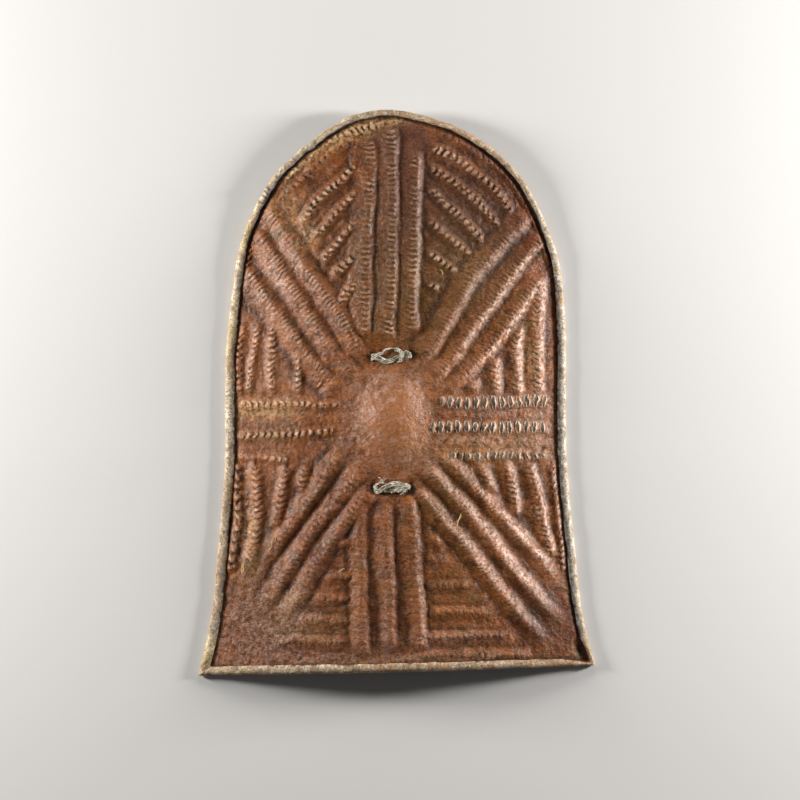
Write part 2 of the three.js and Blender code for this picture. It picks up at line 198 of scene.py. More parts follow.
# Kinds of rib. Width: across a rib; rise: of its crest; pitch: from notch to notch; slant and
# arc: lean and bow of the notches; notch: share of the rise that a notch takes away; pale: how
# far the crests and bead tops are paled, partly as wear and partly as painted highlight; ovals:
# 1 for beads with a grey core of painted shade and pale edges of painted highlight; fade and
# end: lengths over which the rib starts and ends; lean: how much steeper its right side is;
# power: low for a ridge and high for a flat top; groove: depth of the valley beside it.
STYLE_VALUES = (
    "width", "rise", "pitch", "slant", "arc", "notch", "pale", "ovals", "fade", "end", "lean",
    "power", "groove",
)
STYLES = {
    "head_band": (30, 6.6, 8.6, 0.05, 0.35, 0.4, 0.5, 0.0, 24, 16, 0.5, 1.5, 1.0),
    "left_band": (34, 7.4, 7.0, 0.1, 0.15, 0.24, 0.5, 0.0, 34, 16, 0.46, 1.5, 1.0),
    "right_band": (32, 7.6, 7.0, -0.1, 0.2, 0.26, 0.4, 0.0, 34, 16, 0.4, 1.6, 1.0),
    "lower_band": (31, 6.8, 7.2, -0.1, 0.2, 0.2, 0.4, 0.0, 34, 70, -0.1, 1.7, 0.9),
    "band": (32, 6.6, 9.2, 0.1, 0.3, 0.26, 0.3, 0.0, 34, 80, 0.35, 1.7, 1.0),
    "foot_band": (29, 5.2, 9.0, 0.0, 0.2, 0.14, 0.3, 0.0, 34, 30, 0.3, 1.8, 0.9),
    "ovals": (22, 4.4, 14.3, 0.0, 0.0, 0.8, 0.6, 1.0, 16, 16, 0.0, 2.4, 0.3),
    "faint_ovals": (22, 4.2, 13.8, 0.0, 0.0, 0.7, 0.5, 0.3, 30, 16, 0.0, 2.4, 0.3),
    "left_ovals": (19, 3.8, 11.0, 0.1, 0.2, 0.5, 0.8, 0.1, 20, 16, 0.0, 2.4, 0.35),
    "comb": (20, 4.0, 11.8, 0.05, 0.0, 0.9, 0.6, 0.0, 20, 16, 0.0, 2.4, 0.35),
    "field": (21, 5.0, 11.2, 0.12, 0.4, 0.75, 0.65, 0.0, 14, 16, 0.1, 2.2, 0.6),
    "foot_field": (21, 3.6, 10.0, 0.1, 0.2, 0.35, 0.3, 0.0, 18, 16, 0.0, 2.0, 0.6),
    "upright": (27, 6.6, 9.0, -0.1, 0.3, 0.28, 0.5, 0.0, 16, 16, 0.35, 2.0, 0.8),
    "left_upright": (20, 3.4, 10.0, 0.4, 0.4, 0.5, 0.5, 0.0, 16, 16, 0.0, 2.2, 0.4),
    "column": (27, 5.4, 10.4, 0.0, 0.6, 0.5, 0.4, 0.0, 14, 16, 0.0, 2.2, 0.7),
    "knuckles": (19, 5.0, 17.0, -0.5, 0.0, 0.9, 0.45, 0.2, 14, 16, 0.0, 2.2, 0.7),
    "border": (18, 3.6, 11.6, 0.35, 0.2, 0.8, 0.3, 0.0, 20, 16, 0.0, 2.2, 0.5),
    "pale_border": (23, 5.0, 10.6, 0.2, 0.0, 0.9, 1.0, 0.0, 16, 16, 0.0, 2.2, 0.5),
}

# The ribs' crest lines by kind of rib; their order also picks each rib's noise
RIBS = [
    ("head_band", [
        [(-43, 428), (-42, 363), (-45, 297), (-48, 238), (-48, 180), (-52, 130), (-53, 92)],
        [(-7, 447), (-7, 388), (-5, 322), (-5, 255), (-7, 188), (-10, 130), (-13, 88)],
        [(33, 405), (33, 363), (32, 322), (30, 263), (28, 205), (27, 147), (27, 97)],
    ]),
    ("right_band", [
        [(42, 53), (67, 88), (92, 130), (115, 175), (130, 197), (158, 228), (188, 262), (220, 298)],
        [(60, 22), (92, 58), (123, 103), (160, 157), (190, 197), (218, 232), (248, 265)],
        [(92, 8), (130, 48), (163, 83), (190, 123), (217, 160), (243, 195)],
    ]),
    ("ovals", [
        [(68, -13), (112, -16), (172, -15), (220, -13), (258, -15)],
        [(52, -57), (100, -55), (172, -58), (215, -56), (258, -58)],
    ]),
    ("faint_ovals", [
        [(72, -101), (122, -106), (172, -102), (215, -106), (255, -103)],
    ]),
    ("lower_band", [
        [(72, -103), (107, -138), (145, -177), (180, -215), (215, -255), (252, -297), (287, -333)],
        [
            (45, -118), (78, -157), (118, -202), (155, -248), (190, -293), (225, -333), (263, -375),
            (277, -395),
        ],
        [
            (28, -157), (55, -187), (83, -222), (117, -262), (148, -302), (185, -350), (225, -395),
            (260, -430),
        ],
    ]),
    ("foot_band", [
        [(-60, -165), (-60, -263), (-58, -353), (-55, -443)],
        [(-17, -182), (-15, -278), (-10, -378), (-7, -440)],
        [(23, -168), (27, -245), (32, -312), (38, -378), (42, -438)],
    ]),
    ("band", [
        [(-85, -100), (-108, -128), (-143, -178), (-182, -232), (-212, -278), (-232, -302)],
        [(-55, -122), (-90, -175), (-135, -228), (-168, -278), (-200, -330), (-232, -375)],
        [(-38, -158), (-70, -197), (-107, -247), (-135, -293), (-165, -345), (-197, -393)],
    ]),
    ("left_ovals", [
        [(-262, -18), (-178, -18), (-85, -20)],
    ]),
    ("comb", [
        [(-265, -72), (-212, -70), (-162, -67), (-98, -62)],
    ]),
    ("left_ovals", [
        [(-267, -107), (-220, -108), (-172, -112)],
    ]),
    ("left_band", [
        [(-60, 62), (-87, 122), (-125, 177), (-157, 223), (-190, 275), (-215, 312)],
        [(-65, 27), (-95, 63), (-127, 108), (-155, 152), (-187, 202), (-217, 248), (-233, 272)],
        [(-90, 3), (-128, 45), (-157, 80), (-183, 118), (-217, 165), (-248, 212)],
    ]),
    ("field", [
        [(57, 408), (98, 390), (128, 367), (162, 340), (185, 310), (192, 295)],
        [(55, 375), (97, 350), (128, 322), (157, 293), (172, 277)],
        [(55, 340), (85, 310), (115, 282), (147, 248)],
        [(52, 287), (82, 260), (125, 225)],
        [(53, 233), (77, 215), (105, 197)],
        [(50, 182), (77, 168)],
    ]),
    ("upright", [
        [(242, 188), (237, 147), (235, 97), (237, -5)],
        [(205, 108), (198, 72), (200, 30), (202, -7)],
        [(162, 60), (165, 27), (167, -7)],
        [(127, 22), (130, -3)],
        [(142, -122), (152, -145), (163, -167)],
        [(182, -115), (192, -148), (197, -178), (200, -207)],
        [(220, -117), (233, -165), (245, -223), (260, -275)],
    ]),
    ("foot_field", [
        [(52, -242), (78, -245)],
        [(47, -277), (88, -277)],
        [(45, -318), (122, -318)],
        [(50, -363), (105, -363), (158, -365)],
        [(30, -405), (105, -403), (185, -405)],
        [(35, -437), (122, -435), (223, -437)],
        [(-103, -250), (-70, -250)],
        [(-118, -303), (-72, -303)],
        [(-137, -342), (-73, -342)],
        [(-160, -377), (-75, -378)],
        [(-197, -412), (-77, -413)],
    ]),
    ("column", [
        [(-237, -117), (-233, -178), (-233, -220), (-238, -258), (-252, -293)],
        [(-183, -120), (-190, -162), (-197, -198), (-205, -230)],
        [(-150, -120), (-155, -145), (-163, -168)],
    ]),
    ("left_upright", [
        [(-233, 113), (-235, 80), (-242, 42), (-248, -5)],
        [(-207, 115), (-207, 72), (-210, 35), (-207, -5)],
        [(-168, 77), (-163, 42), (-162, -5)],
        [(-130, 28), (-128, -2)],
    ]),
    ("field", [
        [(-67, 380), (-95, 352), (-132, 320), (-160, 278)],
        [(-67, 335), (-97, 302), (-125, 270), (-138, 255)],
        [(-67, 285), (-98, 248), (-125, 213)],
        [(-67, 232), (-93, 205), (-105, 192)],
        [(-65, 185), (-85, 163), (-95, 137)],
    ]),
    ("border", [
        [(-68, 420), (-105, 398), (-142, 368), (-182, 332)],
        [(72, 437), (118, 410), (157, 385), (190, 353), (218, 308), (245, 255), (260, 197)],
    ]),
    ("pale_border", [
        [(-25, 447), (-58, 440), (-87, 433), (-112, 423), (-132, 412), (-157, 392)],
        [(-157, 383), (-173, 373), (-190, 358)],
    ]),
    ("border", [
        [(-208, 328), (-227, 298), (-242, 255), (-257, 197)],
    ]),
    ("knuckles", [
        [(-265, -115), (-267, -162), (-263, -203), (-268, -233), (-275, -282), (-277, -302)],
    ]),
    ("border", [
        [(-258, 105), (-263, 52), (-262, -8)],
        [(257, -115), (265, -178), (272, -237), (278, -303)],
    ]),
]
TROUGH_DEPTH = 1.7


def spline(a, b, c, d, share):
    """A smooth way from b to c, for which a comes before and d after."""
    bend_2 = 2 * a - 5 * b + 4 * c - d
    bend_3 = 3 * b - a - 3 * c + d
    return (2 * b + (c - a) * share + bend_2 * share**2 + bend_3 * share**3) / 2


def with_ends(points):
    """The points with one more before the first and after the last, in line with them."""
    points = np.array(points, float)
    return np.vstack([2 * points[0] - points[1], points, 2 * points[-1] - points[-2]])


def smooth_line(points):
    """Close points on a smooth line through a few."""
    ends = with_ends(points)
    share = np.linspace(0, 1, 5, endpoint=False)[:, None]
    parts = [spline(*ends[i : i + 4], share) for i in range(len(points) - 1)]
    return np.vstack([*parts, np.array(points[-1:], float)])


def rib_position(points, x, y):
    """Signed distance from a crest line, how far east of it, the way along it, and its length."""
    runs = np.diff(points, axis=0)
    lengths = np.linalg.norm(runs, axis=1)
    before = np.concatenate([[0], np.cumsum(lengths)])
    dx, dy = x[:, None] - points[None, :-1, 0], y[:, None] - points[None, :-1, 1]
    share = np.clip((dx * runs[:, 0] + dy * runs[:, 1]) / lengths**2, 0, 1)
    off_x, off_y = dx - share * runs[:, 0], dy - share * runs[:, 1]
    distance = np.hypot(off_x, off_y)
    best = np.argmin(distance, axis=1)
    pick = np.arange(len(x))
    off_x, off_y = off_x[pick, best], off_y[pick, best]
    side = np.sign(runs[best, 0] * off_y - runs[best, 1] * off_x)
    east = off_x / np.maximum(distance[pick, best], 1e-6)
    along = before[best] + share[pick, best] * lengths[best]
    return side * distance[pick, best], east, along, before[-1]


def rib_relief(number, style, points, x, y, notch_scale):
    """Height of one rib's crest, depth of its trough, and its marks at the points near it."""
    across, east, along, length = rib_position(points, x, y)
    along = along + 2.4 * soft_noise(along, across, 24, 500 + number)
    across = across + 2.6 * layered_noise(along, across, 44, 600 + number)
    half = style["width"] / 2 * (1 + 0.14 * soft_noise(along, along, 27, 650 + number))
    off = np.abs(across) / half * (1 + style["lean"] * east)
    reach = 0.3 * style["fade"]
    fade = smoothstep(-reach, style["fade"] - reach, along)
    fade = fade * smoothstep(-4, style["end"], length - along)
    bow = style["arc"] * across * across / half
    beat = (along + style["slant"] * across + bow) / style["pitch"]
    bead_number = np.floor(beat).astype(int) % 64
    strength = np.random.default_rng(700 + number).uniform(0.35, 1.15, 64)[bead_number]
    strength = strength * (1 + 0.5 * soft_noise(along, across, 45, 690 + number))
    valley = (0.5 + 0.5 * np.cos(2 * np.pi * beat)) ** 1.3
    notch = np.clip(style["notch"] * strength * valley, 0, 1)
    section = np.exp(-((off / 0.72) ** style["power"]))
    swell = 1 + 0.16 * soft_noise(along, across, 40, 680 + number)
    crest = style["rise"] * swell * fade * section * (1 - notch_scale * notch * section)
    trough = style["groove"] * fade * np.exp(-(((off - 1.3) / 0.34) ** 2))
    ridge = fade * section
    # Pale crests: partly wear, partly a painted highlight
    worn_and_sheen = style["pale"] * ridge * (0.35 + 0.65 * section)
    # The flank that faces the nearer side of the shield, and so the nearer side light, gets pale
    # specks: a painted highlight
    outward = np.clip(east * np.sign(x) * 1.6, 0, 1)
    return crest, trough, {
        "ridge": ridge,
        "beat": beat,
        "bead": style["notch"] * strength * (0.6 + 0.4 * section),
        "top": smoothstep(0.3, 0.65, style["pale"]),
        "ovals": style["ovals"] * ridge,
        "wear_and_sheen": worn_and_sheen * (1 - 0.7 * valley) * (0.5 + 0.5 * strength),
        # Painted shade in the notches
        "hollow": 0.55 * ridge * notch,
        "painted_glint": fade * outward * np.exp(-(((off - 0.5) / 0.42) ** 2)),
    }


# Marks that the strongest rib sets at a point, and marks of which the most counts
OWN_MARKS = ("ridge", "beat", "bead", "top", "ovals")
MOST_MARKS = ("wear_and_sheen", "hollow", "painted_glint")


def emboss(x, y, notch_scale):
    """Relief of the ribs, and what the hide's finish needs to know of them at each point."""
    relief, trough_depth = np.zeros_like(x), np.zeros_like(x)
    marks = {name: np.zeros_like(x) for name in MOST_MARKS + OWN_MARKS}
    lines = [(name, line) for name, group in RIBS for line in group]
    for number, (name, crest_line) in enumerate(lines):
        style = dict(zip(STYLE_VALUES, STYLES[name]))
        points = smooth_line(crest_line)
        low, high = points.min(axis=0) - style["width"], points.max(axis=0) + style["width"]
        inside = (x > low[0]) & (x < high[0]) & (y > low[1]) & (y < high[1])
        near = np.flatnonzero(inside)
        crest, trough, own = rib_relief(number, style, points, x[near], y[near], notch_scale)
        over = own["ridge"] > marks["ridge"][near]
        for mark in OWN_MARKS:
            marks[mark][near] = np.where(over, own[mark], marks[mark][near])
        for mark in MOST_MARKS:
            marks[mark][near] = np.maximum(marks[mark][near], own[mark])
        relief[near] = np.maximum(relief[near], crest)
        trough_depth[near] = np.maximum(trough_depth[near], trough)
    trough_depth = trough_depth * (1 - np.clip(relief / 3, 0, 1))
    # Painted shade in the troughs beside the ribs
    marks["hollow"] = np.maximum(marks["hollow"], 0.95 * trough_depth)
    # Painted highlight on the flanks, only where its patches reach
    marks["painted_glint"] = marks["painted_glint"] * (1 - trough_depth) * patches(x, y, PAINTED_GLINT_PATCHES)
    return relief - TROUGH_DEPTH * trough_depth, marks


def boss_relief(x, y):
    out = np.hypot((x - BOSS[0]) / BOSS_HALF_WIDTH, (y - BOSS[1]) / BOSS_HALF_LENGTH)
    return BOSS_RISE * (1 - np.minimum(out, 1) ** 2) ** BOSS_POWER


# Small hurts of the sheet, and dips round the ties, at the top and in the lower right corner, each
# darkened with painted shade: place, half length and half breadth, turn, depth, darkness of the
# painted shade
MARKS = [
    (242, -93, 5, 4, 20, -3.0, 0.9), (-78, -311, 9, 1.6, 58, -1.8, 0.8),
    (128, -285, 3.5, 3, 0, -2.2, 0.8), (43, -153, 7, 5, 0, -1.8, 0.5),
    (-125, 8, 8, 6, 30, -1.6, 0.35), (88, -70, 26, 3, 48, -2.0, 0.45),
    (-122, -78, 16, 2.4, -40, -1.8, 0.5), (-85, 445, 2, 1.6, 0, -2.2, 0.95),
    (-68, 452, 2, 1.6, 0, -2.2, 0.95), (-47, 450, 2.2, 1.6, 20, -2.2, 0.9),
    (-32, 458, 2, 1.5, 0, -2.2, 0.95), (-8, 456, 3, 2.6, 0, -3.0, 1.0),
    (5, 459, 6, 1.8, -5, -2.0, 0.95), (21, -158, 4.5, 9, -14, -2.5, 1.0),
    (16, -166, 7, 2.5, 50, -1.5, 0.9), (-6, -165, 17, 2.2, -4, -1.5, 1.0),
    (-36, -158, 2.5, 8, 10, -1.5, 1.0), (10.5, 61, 2, 7, 5, -1.5, 1.0),
    (21, 70, 5, 2, -30, -1.5, 0.9), (-22, 68, 7, 1.6, 58, -1.2, 0.9),
    (307, -431, 17, 8, -55, -2.5, 1.0), (23, 58, 4, 8, 0, -1.0, 0.8), (-43, 59, 4, 7, 0, -1.0, 0.8),
]
HOLE_HALF_SIZES = (7, 9)
HOLE_DEPTH = 4.5


def holes(x, y):
    """1 at the four places where the thongs go down into the sheet."""
    found = np.zeros_like(x)
    for tie_y in TIE_YS.values():
        for side in (-1, 1):
            place = (TIE_X + side * TIE_SPAN / 2, tie_y)
            found = np.maximum(found, soft_patch(x, y, place, HOLE_HALF_SIZES))
    return found


def face_surface(x, y, border):
    """Height of the hair side above the bend, with its rubbed places, painted highlights and
    painted shade.
    """
    relief, marks = emboss(x, y, 1)
    boss = boss_relief(x, y)
    off_boss = 1 - smoothstep(1.0, 5, boss)
    relief = np.maximum(relief * off_boss, boss)
    for name in ("wear_and_sheen", "hollow", "ridge", "ovals", "painted_glint"):
        marks[name] = marks[name] * off_boss
    relief = relief + 1.3 * layered_noise(x, y, 62, 11) + 0.7 * layered_noise(x, y, 23, 12)
    relief = relief + 0.35 * soft_noise(x, y, 9, 13)
    for mark_x, mark_y, half_length, half_breadth, turn, depth, dark in MARKS:
        patch = soft_patch(x, y, (mark_x, mark_y), (half_length, half_breadth), turn)
        relief = relief + depth * patch
        # Painted shade in the dents and round the ties
        marks["hollow"] = np.maximum(marks["hollow"], dark * smoothstep(0.2, 0.8, patch))
    pit = holes(x, y)
    relief = relief * smoothstep(0, 5, border) - HOLE_DEPTH * pit
    # Painted shade in the holes where the thongs go down
    marks["hollow"] = np.maximum(marks["hollow"], smoothstep(0.25, 0.8, pit))
    return relief, marks


def back_surface(x, y, border):
    relief = emboss(x, y, 0.25)[0]
    relief = np.maximum(relief, boss_relief(x, y)) + 1.3 * layered_noise(x, y, 62, 11)
    return relief * 0.9 * smoothstep(0, 14, border)


# Colour patches of the hair side: place, half sizes, turn and strength of each
FACE_PATCHES = {
    "orange": [
        (-5, -47, 62, 88, 0, 1.0), (-215, -20, 60, 150, 0, 0.55), (70, 40, 60, 40, 40, 0.5),
        (95, 150, 40, 50, 0, 0.5), (190, -250, 80, 60, -50, 0.35), (-75, -330, 40, 110, 0, 0.35),
        (60, -360, 120, 60, 0, 0.3),
    ],
    "olive": [
        (60, 210, 90, 120, 0, 0.9), (-30, 220, 50, 130, 0, 0.5), (80, -180, 40, 60, 0, 0.6),
        (-190, -380, 70, 40, 0, 0.5), (-245, -370, 70, 70, 0, 0.3), (110, -330, 50, 50, 0, 0.35),
    ],
    "plum": [
        (-240, -400, 80, 70, 0, 0.7), (-130, -440, 120, 24, 0, 0.6), (-120, -260, 90, 60, 50, 0.6),
        (20, 350, 60, 90, 0, 0.8), (250, -380, 50, 60, 0, 0.7), (-20, -380, 40, 90, 0, 0.5),
        (245, 120, 20, 90, 0, 0.5), (135, 320, 90, 100, -50, 0.65), (150, 200, 110, 30, 50, 0.5),
        (10, 430, 50, 30, 0, 0.8), (0, 240, 60, 60, 0, 0.4),
    ],
    "buff": [
        (-75, 436, 60, 13, 17, 1.8), (-120, 412, 34, 12, 32, 1.5), (-172, 377, 26, 12, 40, 1.9),
        (-20, 455, 40, 9, 0, 1.0), (-225, -28, 60, 16, 0, 0.9), (-215, -72, 50, 8, 0, 0.6),
        (-180, 300, 30, 40, 50, 0.5), (-150, 255, 26, 20, 50, 0.4), (222, 60, 26, 80, 0, 0.3),
        (150, -95, 100, 30, 0, 0.35), (120, 215, 60, 50, -40, 0.3), (-245, -230, 20, 70, 0, 0.4),
        (-150, -395, 50, 18, 0, 0.35), (-175, -345, 40, 30, 40, 0.25), (90, -448, 150, 12, 0, 0.45),
    ],
    "pink": [
        (30, 5, 16, 34, 0, 0.9), (36, -50, 14, 40, 0, 0.5), (-66, -50, 30, 70, 0, 0.9),
        (-20, 20, 40, 26, 0, 0.6), (20, -110, 50, 24, 0, 0.6), (-40, -5, 30, 20, 0, 0.4),
        (120, -75, 90, 8, 0, 0.6), (150, -30, 110, 8, 0, 0.6), (240, -60, 24, 50, 0, 0.8),
        (180, 20, 100, 40, 0, 0.3), (-240, -400, 80, 80, 0, 0.8), (-110, -440, 120, 16, 0, 0.5),
        (-170, -380, 40, 20, 30, 0.6), (80, -405, 120, 14, 0, 0.6), (120, -440, 120, 10, 0, 0.6),
        (250, -330, 30, 50, 40, 0.5), (-8, -12, 9, 4, 20, 1.0), (10, -42, 11, 3.5, 0, 1.0),
        (5, -75, 13, 4, 10, 1.0), (-42, -38, 7, 5, 0, 0.9), (-27, -70, 6, 8, 0, 0.8),
    ],
    "dim": [
        (0, 300, 84, 170, 0, 1.0), (150, 215, 130, 70, 50, 1.0), (-150, 170, 120, 60, -50, 0.3),
        (130, 330, 90, 90, -50, 0.8), (250, -395, 70, 60, 0, 1.0), (-215, -60, 90, 46, 0, 0.8),
        (-150, -190, 100, 60, 50, 0.35), (-245, -400, 90, 90, 0, 0.5), (190, -150, 80, 40, 0, 0.3),
        (-60, 400, 60, 40, 0, 0.5),
    ],
}
# Where the flanks get a painted highlight: place, half sizes, turn and strength of each
PAINTED_GLINT_PATCHES = [
    (210, 190, 110, 50, 50, 1.0), (225, 60, 60, 120, 0, 1.0), (235, -60, 60, 60, 0, 1.0),
    (230, -190, 60, 110, 10, 0.9), (170, -260, 140, 60, -48, 0.8), (150, 110, 80, 60, 50, 0.6),
    (60, 20, 40, 40, 0, 0.6), (-190, 190, 90, 90, 0, 0.45), (-230, -30, 60, 90, 0, 0.5),
    (40, 300, 60, 150, 0, 0.35), (20, -350, 60, 120, 0, 0.35),
]

# The same for the rolled rim: tan, yellow, grey and white stretches of it
RIM_PATCHES = {
    "orange": [
        (-300, -330, 40, 60, 0, 0.6), (-265, 60, 30, 40, 0, 0.5), (272, 155, 30, 7, 0, 1.0),
        (70, 440, 60, 30, -20, 0.7), (0, -455, 280, 20, 0, 0.9), (285, -450, 60, 16, 0, 0.8),
        (-240, 270, 40, 50, 50, 0.4), (150, 400, 60, 40, -40, 0.5),
    ],
    "olive": [
        (-308, -430, 16, 22, 0, 1.0), (-276, 95, 20, 40, 0, 0.5), (-265, 260, 30, 30, 40, 0.4),
        (-330, -452, 24, 12, 0, 0.6),
    ],
    "plum": [
        (-265, 188, 30, 10, 0, 0.8), (-308, -400, 24, 26, 0, 1.0), (-303, -345, 24, 34, 0, 0.7),
        (-298, -295, 24, 20, 0, 0.8), (-275, -40, 20, 60, 0, 0.25), (278, 60, 30, 90, 0, 0.9),
        (280, -100, 30, 130, 0, 1.0), (290, -250, 30, 110, 0, 1.0), (-140, 405, 90, 40, 35, 1.0),
        (-218, 330, 40, 30, 50, 1.0), (310, -340, 30, 110, 12, 1.0), (180, 370, 60, 40, -45, 0.6),
        (240, 290, 40, 40, -60, 0.5),
    ],
    "buff": [
        (268, 215, 30, 60, 0, 1.0), (262, 290, 26, 30, -60, 0.5), (-270, 120, 30, 80, 0, 0.4),
        (-285, -60, 30, 60, 0, 0.6), (-290, -200, 30, 60, 0, 0.5), (-160, -455, 120, 20, 0, 0.8),
        (110, -455, 140, 20, 0, 0.6), (290, -200, 30, 220, 0, 1.0), (284, 100, 30, 120, 0, 0.8),
    ],
}


def patches(x, y, places):
    total = np.zeros_like(x)
    for place_x, place_y, half_x, half_y, turn, strength in places:
        total = total + strength * soft_patch(x, y, (place_x, place_y), (half_x, half_y), turn)
    ragged = total * (1 + 0.45 * layered_noise(x, y, 26, int(abs(places[0][0]))))
    return np.clip(ragged, 0, 1)


# Rolled rim: distance in from the edge, height above the underside, and 1 where it is flap
RIM_RINGS = [
    (10.0, 5.0, 0), (8.8, 5.6, 0), (9.6, 6.2, 1), (14.2, 6.5, 1), (15.2, 7.2, 1), (14.4, 8.6, 1),
    (11.6, 9.8, 1), (8.0, 10.4, 1), (4.2, 9.8, 1), (1.3, 7.8, 1), (0.0, 5.2, 1), (0.9, 2.2, 1),
    (3.4, 0.3, 1), (9.0, 0.0, 1),
]
FACE_INSET = 15
LOWER_RIGHT = (332, -454)
RIM_KNOT = (-220, 338)
KNOT_TURN = 7.5
RIM_MIDDLE = 9.8


def rim_widths(x, y):
    """How wide the flap is round the edge, as a share of its full width."""
    share = 1.05 - 0.12 * smoothstep(-100, 200, x) - 0.27 * smoothstep(120, 320, y)
    share = share - 0.12 * smoothstep(-300, -400, y) * smoothstep(240, 300, x)
    share = share - 0.12 * soft_patch(x, y, (-150, 400), (100, 100))
    share = share + 0.04 * soft_noise(x, y, 34, 21) + 0.03 * soft_noise(x, y, 11, 22)
    corner = np.hypot(x - LOWER_RIGHT[0], y - LOWER_RIGHT[1])
    return share * (0.38 + 0.62 * smoothstep(4, 42, corner))


# Dark seams and creases of the rolled rim and its lower right corner, painted shade where they fold
# in: place, half length and half width, turn, darkness
RIM_SHADE_MARKS = [
    (-320, -450, 13, 2.0, 42, 0.9), (-298, -290, 9, 1.3, 8, 0.6), (-301, -303, 9, 1.3, 8, 0.6),
    (-304, -318, 9, 1.3, 8, 0.5), (-310, -398, 8, 5, 0, 0.45), (-138, 418, 9, 1.8, -50, 0.9),
    (-146, 411, 9, 1.6, -50, 0.7), (-172, 389, 9, 1.8, -45, 0.8), (-183, 378, 9, 1.4, -45, 0.6),
    (-228, 318, 9, 1.6, -35, 0.9), (302, -428, 14, 2.5, -55, 0.8), (272, 170, 8, 3.0, 0, 0.8),
    (180, 377, 6, 1.6, 45, 0.6),
]


def rim_shade_marks(x, y, edge_x, edge_y):
    dark = np.zeros_like(x)
    for mark_x, mark_y, half_length, half_breadth, turn, strength in RIM_SHADE_MARKS:
        patch = soft_patch(x, y, (mark_x, mark_y), (half_length, half_breadth), turn)
        dark = np.maximum(dark, strength * patch)
    # Painted shade between the turns of the knot on the rim
    turns = 0.5 + 0.5 * np.cos((0.57 * edge_x + 0.82 * edge_y) * 2 * np.pi / KNOT_TURN)
    knot = soft_patch(edge_x, edge_y, RIM_KNOT, (12, 12))
    return np.maximum(dark, smoothstep(0.25, 0.6, knot) * turns**2)


def rim_section(ring, edge_x, edge_y):
    """Distance in from the edge, height above the bend, and 1 on the flap, at each point."""
    width = rim_widths(edge_x, edge_y)
    inset = np.full(len(ring), float(FACE_INSET))
    rise = np.where(ring == len(RIM_RINGS) + 1, 0.0, float(HIDE_THICKNESS))
    flap = np.zeros(len(ring))
    lump = 0.5 * soft_noise(edge_x, edge_y, 24, 23) + 0.4 * soft_noise(edge_x, edge_y, 7, 24)
    lump = lump + 2.2 * soft_patch(edge_x, edge_y, RIM_KNOT, (9, 9))
    for number, (ring_inset, ring_rise, ring_flap) in enumerate(RIM_RINGS, 1):
        here = ring == number
        wide = ring_inset * (width if ring_flap and ring_rise > 1 else 1)
        inset = np.where(here, wide, inset)
        rise = np.where(here, ring_rise + lump * (ring_rise > 8), rise)
        flap = np.where(here, ring_flap, flap)
    return inset, rise, flap


def border_distance(x, y, across):
    """How far a point lies inside the rim's inner edge."""
    side_gap = half_width(y, np.sign(across)) - FACE_INSET - np.abs(x - middle_line(y))
    foot_gap = y - foot_edge(x) - FACE_INSET
    side = np.abs((x - middle_line(y)) / (WAIST_WIDTH / 2 - FACE_INSET))
    up = np.clip((y - ARCH_FOOT_Y) / (ARCH_RISE - FACE_INSET), 0, None)
    out = side**ARCH_POWER + up**ARCH_POWER
    head_gap = (1 - out ** (1 / ARCH_POWER)) * (WAIST_WIDTH / 2 - FACE_INSET)
    border = np.where(y > ARCH_FOOT_Y, head_gap, np.minimum(side_gap, foot_gap))
    return np.maximum(border, 0)


def sheet_mesh():
    """The closed sheet by columns and rows: face at 0, rings of the rim below, back last."""
    bm = bmesh.new()
    bmesh.ops.create_grid(bm, x_segments=COLUMNS, y_segments=ROWS, size=1)
    edges = [edge for edge in bm.edges if edge.is_boundary]
    for _ in range(len(RIM_RINGS) + 1):
        made = bmesh.ops.extrude_edge_only(bm, edges=edges)["geom"]
        ring = [item for item in made if isinstance(item, bmesh.types.BMVert)]
        edges = [item for item in made if isinstance(item, bmesh.types.BMEdge)]
        edges = [edge for edge in edges if edge.is_boundary]
        bmesh.ops.translate(bm, verts=ring, vec=(0, 0, -1))
    below = Matrix.Translation((0, 0, -len(RIM_RINGS) - 1))
    back = bmesh.ops.create_grid(
        bm, x_segments=COLUMNS // 2, y_segments=ROWS // 2, size=1, matrix=below
    )["verts"]

    def cell(vert, step):
        column, row = (vert.co.x + 1) / 2 * COLUMNS, (vert.co.y + 1) / 2 * ROWS
        return int(column + 0.5) // step * step, int(row + 0.5) // step * step

    border = {cell(vert, 1): vert for vert in back if vert.is_boundary}
    bmesh.ops.weld_verts(bm, targetmap={vert: border[cell(vert, 2)] for vert in ring})
    bmesh.ops.recalc_face_normals(bm, faces=bm.faces[:])

    def rank(place):
        return -place.z * 1e6 + place.y * 1e3 + place.x

    # Extruding leaves the rim's parts in an order that changes from run to run
    bm.verts.sort(key=lambda vert: rank(vert.co))
    bm.faces.sort(key=lambda face: rank(face.calc_center_median()))
    return bm


def mesh_points(mesh):
    points = np.empty(len(mesh.vertices) * 3)
    mesh.vertices.foreach_get("co", points)
    return points.reshape(-1, 3)


def finished_mesh(bm, name, material):
    mesh = bpy.data.meshes.new(name)
    bm.to_mesh(mesh)
    bm.free()
    mesh.polygons.foreach_set("use_smooth", np.ones(len(mesh.polygons), bool))
    mesh.materials.append(material)
    return mesh


def add_values(mesh, values):
    """Stores a number at each point, for the materials."""
    for name, data in values.items():
        layer = mesh.attributes.new(name, "FLOAT", "POINT")
        layer.data.foreach_set("value", np.asarray(data, np.float32))


def add_lay(mesh, edge_x, edge_y, inset):
    """Stores the way round and across the rim, in centimetres."""
    lay = mesh.attributes.new("lay", "FLOAT_VECTOR", "POINT")
    places = np.stack([edge_x, edge_y, inset], axis=1) / 10
    lay.data.foreach_set("vector", places.astype(np.float32).ravel())


def add_piece(mesh, node):
    piece = bpy.data.objects.new(mesh.name, mesh)
    bpy.context.scene.collection.objects.link(piece)
    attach(piece, "root")
    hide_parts(node)
    return piece


